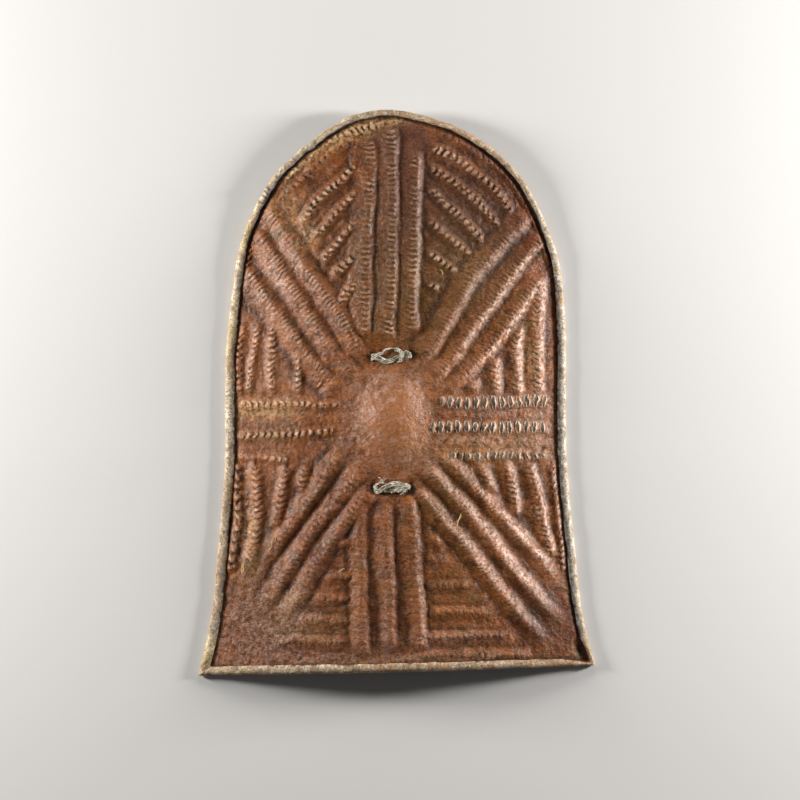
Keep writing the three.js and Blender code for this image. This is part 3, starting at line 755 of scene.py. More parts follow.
def hide_sheet(material):
    mesh = finished_mesh(sheet_mesh(), "hide_sheet", material)
    points = mesh_points(mesh)
    across, row = points[:, 0], (points[:, 1] + 1) / 2 * ROWS
    ring = np.rint(-points[:, 2]).astype(int)
    face, back = ring == 0, ring == len(RIM_RINGS) + 1
    rim = ~face & ~back
    edge_x, edge_y = plan_point(across, row, 0)
    inset, rise, flap = rim_section(ring, edge_x, edge_y)
    x, y = plan_point(across, row, inset)
    # Small swellings push the outer side of the rim in and out
    kinked = 1 + 2.4 * soft_patch(edge_x, edge_y, (-165, 395), (80, 80))
    wobble = np.where(rim, 0.5 * kinked * soft_noise(edge_x, edge_y, 15, 25), 0)
    x, y = x + wobble * np.sign(x), y + wobble * np.sign(y) * (np.abs(y) > 200)
    border = border_distance(x, y, across)
    x, y = settle(x, y)
    relief = np.zeros_like(x)
    relief[face], face_marks = face_surface(x[face], y[face], border[face])
    relief[back] = back_surface(x[back], y[back], border[back])
    places = np.stack([x, y, bend(x, y) + rise + relief], axis=1) * MM
    mesh.vertices.foreach_set("co", places.astype(np.float32).ravel())
    mesh.update()

    marks = {name: np.zeros_like(x) for name in face_marks}
    for name, value in face_marks.items():
        marks[name][face] = value
    # Painted shade along the rim's inner edge on the face, and in the crevice under the rolled flap
    shade = 1 - smoothstep(0, 2.4, border)
    crevice_shade = np.where(rim & (inset > 8) & (rise < 8.5) & (rise > 4), 1.0, 0.0)
    crevice_shade = np.maximum(crevice_shade, rim_shade_marks(x, y, edge_x, edge_y) * flap)
    # On the back, the crests' wear mark holds only the dark that the hand has left round the grip
    handled = soft_patch(x, y, (TIE_X, BOSS[1]), (105, 130))
    handled = handled * (1 + 0.4 * layered_noise(x, y, 30, 26))
    marks["wear_and_sheen"] = np.where(back, np.clip(handled, 0, 1), marks["wear_and_sheen"] * (1 - shade))
    marks["hollow"] = np.maximum(marks["hollow"], np.where(face, 0.7 * shade, crevice_shade))
    for name, patch_list in FACE_PATCHES.items():
        marks[name] = patches(x, y, patch_list) * face
    # The outer edge of the flap stays pale where its middle has gone grey
    middle = np.clip(1.15 - (np.abs(inset - RIM_MIDDLE) / 3.6) ** 2, 0, 1)
    for name, patch_list in RIM_PATCHES.items():
        on_flap = patches(edge_x, edge_y, patch_list) * flap
        marks[name] = marks[name] + (on_flap * middle if name == "plum" else on_flap)
    add_values(mesh, {"flesh": np.maximum(flap, back), "back": back, **marks})
    add_lay(mesh, edge_x, edge_y, inset)
    return add_piece(mesh, "hide")


# Tubes and straps


def new_tubes():
    bm = bmesh.new()
    bm.verts.layers.float_vector.new("lay")
    return bm


def add_tube(bm, around, along, shape):
    """Adds a tube of points shape(turn, share), and closes its seam and its ends."""
    made = bmesh.ops.create_grid(bm, x_segments=around, y_segments=along, size=1)["verts"]
    lay = bm.verts.layers.float_vector["lay"]
    turn = np.array([(vert.co.x + 1) / 2 for vert in made])
    share = np.array([(vert.co.y + 1) / 2 for vert in made])
    points = shape(turn, share) * MM
    for vert, point, angle, way in zip(made, points, turn * 2 * math.pi, share):
        vert.co = point
        vert[lay] = (math.cos(angle), math.sin(angle), way * 40)
    bmesh.ops.remove_doubles(bm, verts=made, dist=1e-7)


def tubes_piece(bm, name, material, node):
    bmesh.ops.recalc_face_normals(bm, faces=bm.faces[:])
    return add_piece(finished_mesh(bm, name, material), node)


def smooth_loop(points):
    """A smooth closed line through points, as a function of a share of its way."""
    points = np.array(points, float)

    def line_at(t):
        place = (t % 1) * len(points)
        i = np.floor(place).astype(int)
        near = (points[(i + k) % len(points)] for k in (-1, 0, 1, 2))
        return spline(*near, (place - i)[:, None])

    return line_at


def open_line(points):
    """A smooth line from the first point to the last, as a function of a share of its way."""
    ends = with_ends(points)

    def line_at(t):
        place = np.clip(t, 0, 1) * (len(points) - 1)
        i = np.minimum(np.floor(place).astype(int), len(points) - 2)
        return spline(*(ends[i + k] for k in range(4)), (place - i)[:, None])

    return line_at


def unit(vectors):
    return vectors / np.maximum(np.linalg.norm(vectors, axis=1), 1e-6)[:, None]


def strand_shape(line_at, closed, level, offsets, radius, number):
    """One of a strip's strands, which lie side by side; level is the way that lies across."""

    def wave(share, turns, shift):
        return np.sin(2 * np.pi * (turns * share + shift * number))

    def shape(turn, share):
        centre = line_at(share)
        ahead = unit(line_at(share + 0.002) - line_at(share - 0.002))
        side = unit(np.cross(ahead, np.array(level)))
        over = np.cross(side, ahead)
        from_start = 1 - np.abs(2 * share - 1) if closed else share
        out = offsets[0] + (offsets[1] - offsets[0]) * smoothstep(0.1, 0.9, from_start)
        out = out + 0.4 * wave(share, 3, 0.37) + 0.25 * wave(share, 8, 0.71)
        high = 0.5 * wave(share, 5, 0.53)
        place = centre + over * out[:, None] + side * high[:, None]
        thick = radius * (1 + 0.2 * wave(share, 7, 0.3))
        if not closed:
            thick = thick * np.sqrt(np.clip(1 - (2 * share - 1) ** 8, 0, 1))
        angle = 2 * np.pi * turn
        rough = 1 + 0.14 * np.sin(3 * angle + 60 * share + number)
        wide, deep = 1.25 * np.cos(angle) * rough, 0.8 * np.sin(angle) * rough
        return place + thick[:, None] * (over * wide[:, None] + side * deep[:, None])

    return shape


def face_height(x, y):
    """Height of the hair side, without its ribs."""
    x, y = np.array(float(x)), np.array(float(y))
    return float(bend(x, y) + HIDE_THICKNESS + boss_relief(x, y))


# Strips of each tie. Kind: a turn goes down at the left, under the grip and up at the right, and
# a flap lies on the face with both its ends tucked in. Then the number of strands, how far apart
# they lie at the start and at the end, their radius, and the points of the strip on the face:
# across and up from the tie's middle, and height above the face.
TIE_STRIPS = {
    "upper_tie": [
        ("turn", 4, (2.7, 1.3), 1.0, [
            (-34, -4, 0), (-29, -2, 3), (-22, -5, 4), (-14, -8, 3.5), (-5, -9, 3.5), (3, -6, 4),
            (11, -2, 4), (20, 0, 3), (30, -1, 0),
        ]),
        ("turn", 2, (1.5, 1.5), 0.8, [
            (-32, -1, 0), (-24, 2, 4.5), (-17, 4, 4.5), (-12, 9, 4), (-3, 12, 3), (7, 10.5, 3.5),
            (14, 7, 4), (22, 4, 4), (30, 1, 0),
        ]),
        ("flap", 3, (2.2, 2.2), 0.95, [
            (4, 10, 0), (10, 9.5, 4.5), (15, 5, 6.5), (16.5, -1, 6.8), (14, -7, 5), (6, -8.5, 1),
        ]),
        ("flap", 2, (2.0, 2.0), 1.0, [
            (18, -6, 1), (23, -4.5, 4.5), (28, -1, 5.5), (29.5, 3.5, 5.5), (25, 6, 5), (19, 6, 2),
        ]),
        ("flap", 1, (0, 0), 1.5, [
            (20, 0, 1), (24, 0.5, 4), (29, 2, 4),
        ]),
    ],
    "lower_tie": [
        ("turn", 4, (1.9, 2.0), 0.9, [
            (-28, -5, -1), (-23, -6.5, 3), (-16, -2, 5), (-9, 2.5, 6), (-2.5, 5.7, 6.5),
            (4, 6.6, 6), (11, 5.7, 5), (17, 4.3, 4), (23, 3.4, 3), (27.5, 2, -1),
        ]),
        ("turn", 3, (1.6, 2.3), 0.85, [
            (-28, 2, -1), (-23, -1, 1.5), (-14, -5, 2), (-4, -5, 3), (3, -3, 4), (9, -0.5, 4.5),
            (15, 0, 4.5), (21, 0.5, 4), (27.5, 0, -1),
        ]),
        ("flap", 1, (0, 0), 1.3, [
            (-9, 7, 2), (-16, 8, 3), (-23, 7.2, 4), (-27.5, 4.3, 4.5), (-28.4, -0.2, 4.5),
            (-26.5, -5.7, 4), (-21, -8.8, 2),
        ]),
        ("flap", 2, (1.3, 1.7), 0.85, [
            (-8, -6.4, 1), (-2, -7, 3), (4, -6.4, 3.5), (11, -5.7, 4), (17, -3.8, 4), (22, 0, 3),
        ]),
        ("flap", 2, (1.8, 0.9), 1.0, [
            (27, 4, 0), (25.5, 1.5, 5), (23.8, -2, 5.5), (19.2, -6.6, 4.5), (13.3, -12.5, 2.5),
        ]),
        ("flap", 1, (0, 0), 0.6, [
            (-23, 18, 1), (-18, 14, 3), (-13, 10, 2),
        ]),
        ("flap", 1, (0, 0), 0.6, [
            (-13, 18, 1), (-16, 13, 3), (-21, 10, 1),
        ]),
        ("flap", 1, (0, 0), 0.5, [
            (-9, 16, 1), (-14, 12, 2.4), (-16, 8, 2),
        ]),
    ],
}
# Where a turn goes behind the sheet: across, and height above its underside, or under the grip
UNDER_GRIP = None
BEHIND = (
    (32, -2), (30, UNDER_GRIP), (12, UNDER_GRIP), (-12, UNDER_GRIP), (-30, UNDER_GRIP), (-32, -2),
)


def strip_line(name, closed, face_points):
    y = TIE_YS[name]
    points = []
    for x, up, high in face_points:
        points.append((TIE_X + x, y + up, face_height(TIE_X + x, y + up) + high))
    if not closed:
        return open_line(points)
    under = float(bend(np.array(float(TIE_X)), np.array(y)))
    under = under - GRIP_SEAT - GRIP_THICKNESS - TIE_UNDER_GRIP
    up = 0.5 * (face_points[0][1] + face_points[-1][1])
    for x, z in BEHIND:
        height = under
        if z is not UNDER_GRIP:
            height = face_height(TIE_X + x, y) - HIDE_THICKNESS + z
        points.append((TIE_X + x, y + up, height))
    return smooth_loop(points)


def tie(name, material):
    bm = new_tubes()
    number = 0
    for kind, strands, spacings, radius, face_points in TIE_STRIPS[name]:
        closed = kind == "turn"
        line = strip_line(name, closed, face_points)
        runs = np.abs(np.diff(np.array(face_points)[:, :2], axis=0)).sum(axis=0)
        upright = not closed and runs[1] > runs[0]
        level = (1.0, 0.1, 0.05) if upright else (0.1, 1.0, 0.05)
        for strand in range(strands):
            offsets = [(strand - (strands - 1) / 2) * spacing for spacing in spacings]
            shape = strand_shape(line, closed, level, offsets, radius, number)
            add_tube(bm, 8, 200 if closed else 60, shape)
            number += 1
    return tubes_piece(bm, "twisted_" + name, material, name)


def grip_shape(turn, share):
    upper, lower = TIE_YS["upper_tie"], TIE_YS["lower_tie"]
    top, bottom = upper + GRIP_OVERLAP, lower - GRIP_OVERLAP
    reach = (1 - np.abs(2 * share - 1) ** 24) ** 0.5
    way = 0.5 + 0.5 * np.sin(np.pi * (share - 0.5)) * 0.12 + (share - 0.5) * 0.88
    y = bottom + (top - bottom) * way
    off = np.sin(np.pi * np.clip((y - lower) / (upper - lower), 0, 1)) ** 1.4
    half = (GRIP_END_WIDTH + (GRIP_MIDDLE_WIDTH - GRIP_END_WIDTH) * off) / 2
    angle = 2 * np.pi * turn
    side = np.sign(np.cos(angle)) * np.abs(np.cos(angle)) ** 0.45 * reach
    over = np.sign(np.sin(angle)) * np.abs(np.sin(angle)) ** 0.7 * reach
    x = TIE_X + side * half
    middle = bend(x, y) - GRIP_SEAT - GRIP_BOW * off - GRIP_THICKNESS / 2
    middle = middle - 0.15 * GRIP_THICKNESS * side**2
    return np.stack([x, y, middle + over * GRIP_THICKNESS / 2 * (1 - 0.15 * side**2)], axis=1)


def grip(material):
    bm = new_tubes()
    add_tube(bm, 32, 120, grip_shape)
    return tubes_piece(bm, "strap_grip", material, "grip")


# Stray bristles: across and up of both ends, and a bow
BRISTLES = [
    (-208, -255, -203, -240, 3), (-205, -250, -202, -237, -2), (-214, -266, -205, -254, 2),
    (-257, -305, -252, -280, 4), (-259, -300, -256, -286, -2), (100, -224, 108, -204, 3),
    (97, -214, 106, -199, -2), (70, 205, 76, 195, 2), (-95, -297, -86, -291, 2),
    (176, -273, 190, -279, 2),
]
BRISTLE_RADIUS = 0.5
BRISTLE_RISE = 1.6
BRISTLE_SEAT = 0.2


def bristle_shape(start, end, bow, height):
    along = (end - start) / np.linalg.norm(end - start)
    side = np.array([-along[1], along[0]])

    def shape(turn, share):
        bowed = bow * 4 * share * (1 - share)
        plan = start + (end - start) * share[:, None] + side * bowed[:, None]
        z = height + BRISTLE_RISE * np.sin(np.pi * share)
        thick = BRISTLE_RADIUS * np.sqrt(np.clip(4 * share * (1 - share), 0, 1))
        angle = 2 * np.pi * turn
        plan = plan + side * (thick * np.cos(angle))[:, None]
        return np.column_stack([plan, z + thick * np.sin(angle)])

    return shape


def bristles(material):
    bm = new_tubes()
    for start_x, start_y, end_x, end_y, bow in BRISTLES:
        x, y = np.array([start_x, end_x], float), np.array([start_y, end_y], float)
        well_inside = np.full(2, 99.0)
        surface = bend(x, y) + HIDE_THICKNESS + face_surface(x, y, well_inside)[0]
        start, end = np.array([x[0], y[0]]), np.array([x[1], y[1]])
        add_tube(bm, 6, 12, bristle_shape(start, end, bow, surface.max() + BRISTLE_SEAT))
    return tubes_piece(bm, "stray_bristles", material, "hide")


# Materials


class Nodes:
    """A material's node tree, with short calls for the nodes that these finishes use."""

    def __init__(self, name):
        self.material = bpy.data.materials.new(name)
        self.material.use_nodes = True
        self.tree = self.material.node_tree
        self.shader = self.tree.nodes["Principled BSDF"]
        self.place = self.node("TexCoord", {}).outputs["Object"]

    def link(self, source, target):
        if isinstance(source, (int, float, tuple)):
            target.default_value = source
        else:
            self.tree.links.new(source, target)

    def node(self, kind, sources, **settings):
        """A new node with its settings, and with a value or another node's output at its inputs."""
        node = self.tree.nodes.new("ShaderNode" + kind)
        for name, setting in settings.items():
            setattr(node, name, setting)
        for name, source in sources.items():
            self.link(source, node.inputs[name])
        return node

    def value(self, name):
        return self.node("Attribute", {}, attribute_name=name).outputs["Fac"]

    def vector(self, name):
        return self.node("Attribute", {}, attribute_name=name).outputs["Vector"]

    def stretched(self, stretch, turn=0.0, source=None):
        sources = {"Scale": stretch, "Rotation": (0.0, 0.0, math.radians(turn))}
        sources["Vector"] = source or self.place
        return self.node("Mapping", sources).outputs["Vector"]

    def swirled(self, scale, reach):
        """The place on the object, pushed about by a broad noise."""
        noise = self.node("TexNoise", {"Scale": scale, "Vector": self.place})
        push = {0: noise.outputs["Color"], 1: (reach, reach, reach), 2: self.place}
        return self.node("VectorMath", push, operation="MULTIPLY_ADD").outputs[0]

    def noise(self, scale, detail=4.0, roughness=0.55, vector=None):
        sources = {"Scale": scale, "Detail": detail, "Roughness": roughness}
        sources["Vector"] = vector or self.place
        return self.node("TexNoise", sources).outputs["Fac"]

    def math(self, operation, a, b=0.0):
        return self.node("Math", {0: a, 1: b}, operation=operation).outputs[0]

    def times(self, first, *others):
        for other in others:
            first = self.math("MULTIPLY", first, other)
        return first

    def ranged(self, source, low, high, to_low=0.0, to_high=1.0):
        """Runs smoothly from to_low to to_high while the source goes from low to high."""
        sources = {"From Min": low, "From Max": high, "To Min": to_low, "To Max": to_high}
        sources["Value"] = source
        return self.node("MapRange", sources, interpolation_type="SMOOTHSTEP").outputs["Result"]

    def line_near(self, value, narrow, wide, most=1.0):
        """The most where the value is close to 0, and nothing further off than wide."""
        return self.ranged(self.math("ABSOLUTE", value), narrow, wide, most, 0)

    def between(self, share, a, b):
        return self.node("Mix", {0: share, 2: a, 3: b}, data_type="FLOAT").outputs[0]

    def blend(self, share, a, b, how="MIX"):
        a, b = ((*colour, 1) if isinstance(colour, tuple) else colour for colour in (a, b))
        sources = {0: share, 6: a, 7: b}
        return self.node("Mix", sources, data_type="RGBA", blend_type=how).outputs[2]

    def tinted(self, colour, tints):
        """Lays tints over a colour, each by a mark, by a noise between two levels, or by both."""
        for mark, noise, levels, tint in tints:
            share = self.ranged(self.noise(*noise), *levels) if noise else levels
            if mark:
                share = self.times(self.value(mark), share)
            colour = self.blend(share, colour, tint)
        return colour

    def bump(self, height, distance, strength=1.0, under=None):
        sources = {"Height": height, "Distance": distance * MM, "Strength": strength}
        if under is not None:
            sources["Normal"] = under
        return self.node("Bump", sources).outputs["Normal"]

    def finish(self, colour, roughness, normal):
        self.link(colour, self.shader.inputs["Base Color"])
        self.link(roughness, self.shader.inputs["Roughness"])
        self.link(normal, self.shader.inputs["Normal"])
        return self.material


# Tints, laid one over the other: the mark that they follow, their noise as its scale, detail and
# roughness, its levels as low, high, least and most tint, or one strength, and the tint
HAIR_TINTS = [
    ("", (58, 6, 0.7), (0.46, 0.6, 0, 0.85), (0.075, 0.025, 0.011)),
    ("", (41, 6, 0.68), (0.49, 0.6, 0, 0.65), (0.40, 0.140, 0.040)),
    ("", (50, 6, 0.7), (0.53, 0.62, 0, 0.6), (0.33, 0.165, 0.105)),
    ("", (29, 6, 0.7), (0.54, 0.63, 0, 0.5), (0.150, 0.090, 0.024)),
    ("orange", None, 0.7, (0.44, 0.185, 0.075)),
    ("olive", None, 0.7, (0.180, 0.096, 0.024)),
    ("plum", None, 0.7, (0.145, 0.062, 0.046)),
    ("buff", (160, 5, 0.65), (0.4, 0.58, 0, 0.9), (0.74, 0.49, 0.23)),
    # Paler on the crests: partly wear, partly a painted highlight
    ("wear_and_sheen", (120, 6, 0.7), (0.36, 0.58, 0, 0.75), (0.56, 0.30, 0.17)),
    ("pink", (120, 6, 0.7), (0.4, 0.6, 0, 0.75), (0.54, 0.34, 0.26)),
    # Painted highlight on the flanks that face the nearer side
    ("painted_glint", (150, 5, 0.6), (0.42, 0.58, 0, 0.85), (0.80, 0.60, 0.50)),
]
FLESH_TINTS = [
    ("buff", (65, 5, 0.7), (0.36, 0.54, 0.35, 1), (0.80, 0.72, 0.59)),
    ("", (60, 6, 0.75), (0.45, 0.57, 0, 0.65), (0.27, 0.165, 0.090)),
    ("", (170, 5, 0.7), (0.5, 0.58, 0, 0.6), (0.17, 0.112, 0.068)),
    ("", (130, 5, 0.7), (0.54, 0.62, 0, 0.6), (0.80, 0.70, 0.54)),
    ("plum", None, 0.85, (0.60, 0.58, 0.53)),
    ("plum", (90, 6, 0.75), (0.40, 0.56, 0, 0.9), (0.100, 0.097, 0.088)),
    ("orange", (78, 5, 0.7), (0.42, 0.56, 0.1, 0.95), (0.38, 0.185, 0.080)),
    ("olive", None, 0.8, (0.52, 0.40, 0.14)),
]
FLESH_SPECKS = [("", (330, 6, 0.8), (0.5, 0.58, 0, 0.75), (0.070, 0.042, 0.024))]
BACK_STAINS = [
    ("", (7, 5, 0.65), (0.46, 0.62, 0, 0.55), (0.130, 0.078, 0.045)),
    ("wear_and_sheen", None, 0.7, (0.085, 0.050, 0.030)),
]
THONG_TINTS = [
    ("", (170, 4, 0.6), (0.48, 0.58, 0, 0.75), (0.88, 0.84, 0.72)),
    ("", (90, 4, 0.6), (0.54, 0.62, 0, 0.6), (0.13, 0.085, 0.050)),
]
HAIR_BASES = ((0.270, 0.082, 0.020), (0.190, 0.068, 0.021))
DARK_NAP = (0.54, 0.43, 0.37)
PALE_NAP = (0.62, 0.36, 0.20)
HAIR_PAINTED_SHADE = (0.020, 0.008, 0.004)
PAINTED_NOTCH_SHADE = (0.040, 0.016, 0.009)
BEAD_TOP_WEAR_AND_SHEEN = (0.64, 0.43, 0.29)
DIMMING = (0.66, 0.62, 0.55)
OVAL_CORE_SHADE = (0.115, 0.118, 0.088)
OVAL_EDGE_HIGHLIGHT = (0.70, 0.58, 0.45)
HAIR_SPECK = (0.024, 0.009, 0.005)
FLESH_BASES = ((0.43, 0.305, 0.180), (0.77, 0.62, 0.42))
FLESH_GOLD = (0.46, 0.33, 0.12)
FLESH_STREAK = (0.10, 0.062, 0.036)
FLESH_CREST = (0.76, 0.67, 0.53)
FLESH_PAINTED_SHADE = (0.020, 0.012, 0.008)
BACK_DULLING = (0.52, 0.42, 0.34)


def nap_streaks(n):
    """Short hair that lies in swirls."""
    swirled = n.swirled(9, 0.05)
    first = n.noise(1, 4, 0.7, n.stretched((170, 560, 300), 35, swirled))
    second = n.noise(1, 4, 0.7, n.stretched((190, 640, 300), -60, swirled))
    return n.between(n.ranged(n.noise(26, 3), 0.44, 0.56), first, second)


def bead_pattern(n):
    """Notches, bead tops and ovals along the ribs, crisper than the mesh has them."""
    ridge = n.value("ridge")
    oval = n.ranged(n.value("ovals"), 0.12, 0.35)
    off_oval = n.math("SUBTRACT", 1.0, oval)
    ragged = n.ranged(n.noise(110, 4), 0.2, 0.8, -0.2, 0.2)
    beat = n.math("ADD", n.value("beat"), n.times(ragged, n.between(oval, 1.0, 0.3)))
    wave = n.math("COSINE", n.times(beat, 2 * math.pi))
    on_crest = n.between(oval, n.ranged(ridge, 0.58, 0.92), n.ranged(ridge, 0.15, 0.7))
    bead = n.times(n.value("bead"), on_crest, n.ranged(n.noise(48, 4), 0.3, 0.6, 0.4, 1))
    top = n.times(n.ranged(wave, 0.15, -0.75), n.ranged(bead, 0.05, 0.3), off_oval)
    share = n.math("FRACT", beat)
    # An oval is a grey hollow core darkened with painted shade, with pale edges of painted
    # highlight on both sides that curve round it
    curve = n.times(n.math("SUBTRACT", 1.0, ridge), 0.28)
    core = n.line_near(n.math("SUBTRACT", share, 0.36), 0.08, 0.22)
    patchy = n.ranged(n.noise(37, 3), 0.36, 0.56, 0.35, 0.85)
    far_edge = n.math("ADD", n.math("SUBTRACT", share, 0.68), curve)
    near_edge = n.math("SUBTRACT", n.math("SUBTRACT", share, 0.07), curve)
    far_edge = n.line_near(far_edge, 0.05, 0.15)
    near_edge = n.line_near(near_edge, 0.03, 0.1, 0.6)
    return {
        # gap darkens the notches with painted shade, and also sinks them in the bump
        "gap": n.times(n.ranged(wave, 0.25, 1.0), bead),
        "off_oval": off_oval,
        # Pale tops of the beads: partly wear, partly a painted highlight
        "top": n.times(top, n.ranged(n.noise(130, 4), 0.35, 0.55), n.value("top")),
        # Each bead rises like a scale towards the next notch
        "scale": n.times(share, bead),
        "core": n.times(core, oval, patchy),
        "edge": n.times(n.math("MAXIMUM", far_edge, near_edge), oval),
    }


def hair_colour(n, beads, streak, fine):
    """Red-brown nap, paler where it is rubbed and where a highlight is painted, with painted shade
    in the hollows.
    """
    hair = n.blend(n.ranged(n.noise(11, 3), 0.35, 0.65), *HAIR_BASES)
    hair = n.tinted(hair, HAIR_TINTS)
    dark_nap = n.blend(1.0, hair, DARK_NAP, "MULTIPLY")
    calm = n.between(n.value("orange"), 0.0, 0.65)
    hair = n.blend(n.math("MAXIMUM", n.ranged(streak, 0.38, 0.54), calm), dark_nap, hair)
    patchy = n.ranged(n.noise(33, 4, 0.6), 0.4, 0.6)
    hair = n.blend(n.times(n.ranged(streak, 0.6, 0.7, 0.0, 0.5), patchy), hair, PALE_NAP)
    # Painted shade in the valleys, notches, dents and holes, and along the rim
    hair = n.blend(n.times(n.value("hollow"), 0.85), hair, HAIR_PAINTED_SHADE)
    # Painted shade in the notches
    hair = n.blend(n.times(beads["gap"], beads["off_oval"], 0.75), hair, PAINTED_NOTCH_SHADE)
    # Pale bead tops: partly wear, partly a painted highlight
    hair = n.blend(n.times(beads["top"], 0.8), hair, BEAD_TOP_WEAR_AND_SHEEN)
    hair = n.blend(n.value("dim"), hair, n.blend(1.0, hair, DIMMING, "MULTIPLY"))
    edge = n.times(beads["edge"], n.ranged(n.noise(90, 3), 0.3, 0.6, 0.35, 0.9))
    # Painted shade in the oval cores and a painted highlight on their edges
    hair = n.blend(beads["core"], hair, OVAL_CORE_SHADE)
    hair = n.blend(edge, hair, OVAL_EDGE_HIGHLIGHT)
    return n.blend(n.ranged(fine, 0.56, 0.66, 0.0, 0.55), hair, HAIR_SPECK)


def flesh_colour(n, across_rim):
    """The pale inner side, which shows on the back and on the rolled rim."""
    cream = n.blend(n.ranged(n.noise(16, 4, 0.6), 0.38, 0.62), *FLESH_BASES)
    cream = n.tinted(cream, FLESH_TINTS)
    off_grey = n.math("SUBTRACT", 1.0, n.value("plum"))
    gold = n.ranged(n.noise(85, 5, 0.7), 0.55, 0.62)
    cream = n.blend(n.times(gold, 0.6, off_grey), cream, FLESH_GOLD)
    cream = n.blend(n.ranged(across_rim, 0.54, 0.68, 0, 0.55), cream, FLESH_STREAK)
    cream = n.blend(n.ranged(across_rim, 0.32, 0.44, 0.4, 0), cream, FLESH_CREST)
    cream = n.tinted(cream, FLESH_SPECKS)
    dull = n.tinted(n.blend(1.0, cream, BACK_DULLING, "MULTIPLY"), BACK_STAINS)
    cream = n.blend(n.value("back"), cream, dull)
    # Painted shade in the rim's crevice, seams and creases
    return n.blend(n.times(n.value("hollow"), 0.9), cream, FLESH_PAINTED_SHADE)


def hide_bumps(n, beads, streak, fine, across_rim):
    """The unevenness that is finer than the mesh: height, depth in millimetres, and strength."""
    on_hair = n.between(n.value("flesh"), 1.0, 0.3)
    waves, lumps = n.noise(70, 4, 0.55), n.noise(150, 5, 0.6)
    normal = None
    for height, depth, strength in (
        (n.times(waves, on_hair), 3.6, 0.8),
        (n.times(beads["gap"], -1.0), 2.6, 1.0),
        (beads["scale"], 2.4, 0.8),
        (n.math("SUBTRACT", beads["edge"], beads["core"]), 1.8, 0.8),
        (n.times(lumps, on_hair), 1.9, 0.7),
        (n.times(fine, on_hair), 0.8, 0.5),
        (n.times(across_rim, n.value("flesh")), 1.8, 0.9),
        (streak, 0.8, 0.7),
    ):
        normal = n.bump(height, depth, strength, normal)
    return normal


def hide_material():
    n = Nodes("embossed_hide")
    beads, streak, fine = bead_pattern(n), nap_streaks(n), n.noise(430, 5, 0.7)
    across_rim = n.noise(1, 5, 0.65, n.stretched((3.2, 3.2, 0.9), 0, n.vector("lay")))
    flesh = n.value("flesh")
    colour = n.blend(flesh, hair_colour(n, beads, streak, fine), flesh_colour(n, across_rim))
    roughness = n.ranged(n.noise(220, 4, 0.6), 0.3, 0.7, 0.2, 0.38)
    n.shader.inputs["Specular IOR Level"].default_value = 0.24
    normal = hide_bumps(n, beads, streak, fine, across_rim)
    return n.finish(colour, n.between(flesh, roughness, 0.6), normal)


def thong_material():
    n = Nodes("rawhide_thong")
    lay = n.vector("lay")
    fibres = n.noise(2.4, 5, 0.65, n.stretched((2.2, 2.2, 0.22), 0, lay))
    colour = n.blend(n.ranged(fibres, 0.38, 0.54), (0.090, 0.070, 0.045), (0.56, 0.50, 0.37))
    colour = n.tinted(colour, THONG_TINTS)
    # Painted shade along the edges of each strand, where it meets its neighbours
    side = n.node("SeparateXYZ", {0: lay}).outputs[0]
    edge = n.ranged(n.math("ABSOLUTE", side), 0.62, 0.95)
    colour = n.blend(n.times(edge, 0.93), colour, (0.016, 0.012, 0.008))
    return n.finish(colour, 0.5, n.bump(fibres, 0.8, 0.9))


def bristle_material():
    n = Nodes("bristle")
    worn = n.noise(300, 3)
    colour = n.blend(n.ranged(worn, 0.4, 0.6), (0.62, 0.42, 0.16), (0.80, 0.66, 0.38))
    return n.finish(colour, 0.35, n.bump(worn, 0.2, 0.4))


def strap_material():
    n = Nodes("strap_hide")
    grain = n.noise(320, 5, 0.6)
    broad = n.ranged(n.noise(26, 4), 0.35, 0.65)
    colour = n.blend(broad, (0.13, 0.065, 0.037), (0.22, 0.125, 0.075))
    colour = n.blend(n.ranged(grain, 0.5, 0.7, 0, 0.5), colour, (0.05, 0.028, 0.018))
    return n.finish(colour, n.ranged(broad, 0, 1, 0.42, 0.6), n.bump(grain, 0.9, 0.5))


# Stage, in metres
FLOOR_HALF = 12
FLOOR_COLOUR = (0.66, 0.655, 0.645, 1.0)
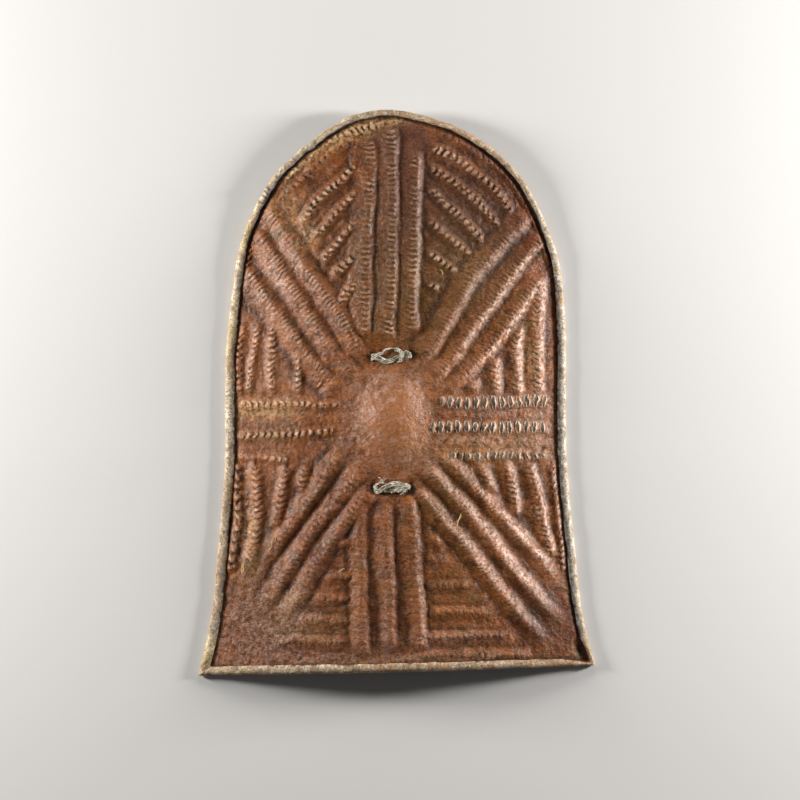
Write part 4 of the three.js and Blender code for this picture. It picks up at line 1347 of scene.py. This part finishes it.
# Soft lights: name, place, what they face, size, power and colour
SOFTBOXES = [
    ("left_softbox", (-2.6, 0.6, 0.72), (0, 0, 0.03), (0.45, 0.8), 135, (1.0, 0.975, 0.94)),
    ("right_softbox", (2.6, 0.5, 0.68), (0, 0, 0.03), (0.35, 0.7), 145, (1.0, 0.975, 0.95)),
    ("head_softbox", (0.2, 2.6, 1.3), (0, 0, 0), (1.2, 0.7), 16, (1.0, 0.98, 0.96)),
]
ROOM_COLOUR = (1.0, 0.98, 0.96, 1)
ROOM_STRENGTH = 0.07
CAMERA_PLACE = (0.005, -0.0117, 6.677)
CAMERA_LENS = 180


def floor():
    bm = bmesh.new()
    bmesh.ops.create_grid(bm, x_segments=8, y_segments=8, size=FLOOR_HALF)
    mesh = bpy.data.meshes.new("floor")
    bm.to_mesh(mesh)
    bm.free()
    n = Nodes("pale_floor")
    mesh.materials.append(n.finish(FLOOR_COLOUR, 0.8, n.bump(n.noise(60), 0.1, 0.1)))
    piece = bpy.data.objects.new("floor", mesh)
    bpy.context.scene.collection.objects.link(piece)


def softbox(name, place, target, size, power, colour):
    light = bpy.data.lights.new(name, "AREA")
    light.shape = "RECTANGLE"
    light.size, light.size_y = size
    light.energy = power
    light.color = colour
    lamp = bpy.data.objects.new(name, light)
    lamp.location = place
    lamp.rotation_euler = (Vector(target) - Vector(place)).to_track_quat("-Z", "Y").to_euler()
    bpy.context.scene.collection.objects.link(lamp)


def lights():
    for values in SOFTBOXES:
        softbox(*values)
    world = bpy.data.worlds.new("studio")
    world.use_nodes = True
    background = world.node_tree.nodes["Background"]
    background.inputs["Color"].default_value = ROOM_COLOUR
    background.inputs["Strength"].default_value = ROOM_STRENGTH
    bpy.context.scene.world = world


def camera():
    data = bpy.data.cameras.new("camera")
    data.lens = CAMERA_LENS
    data.sensor_width = 36
    data.clip_end = 40
    holder = bpy.data.objects.new("camera", data)
    holder.location = CAMERA_PLACE
    bpy.context.scene.collection.objects.link(holder)
    bpy.context.scene.camera = holder


camera()
lights()
floor()
bpy.context.scene.view_settings.view_transform = "Standard"

thong = thong_material()
hide_sheet(hide_material())
for tie_name in TIE_YS:
    tie(tie_name, thong)
grip(strap_material())
bristles(bristle_material())
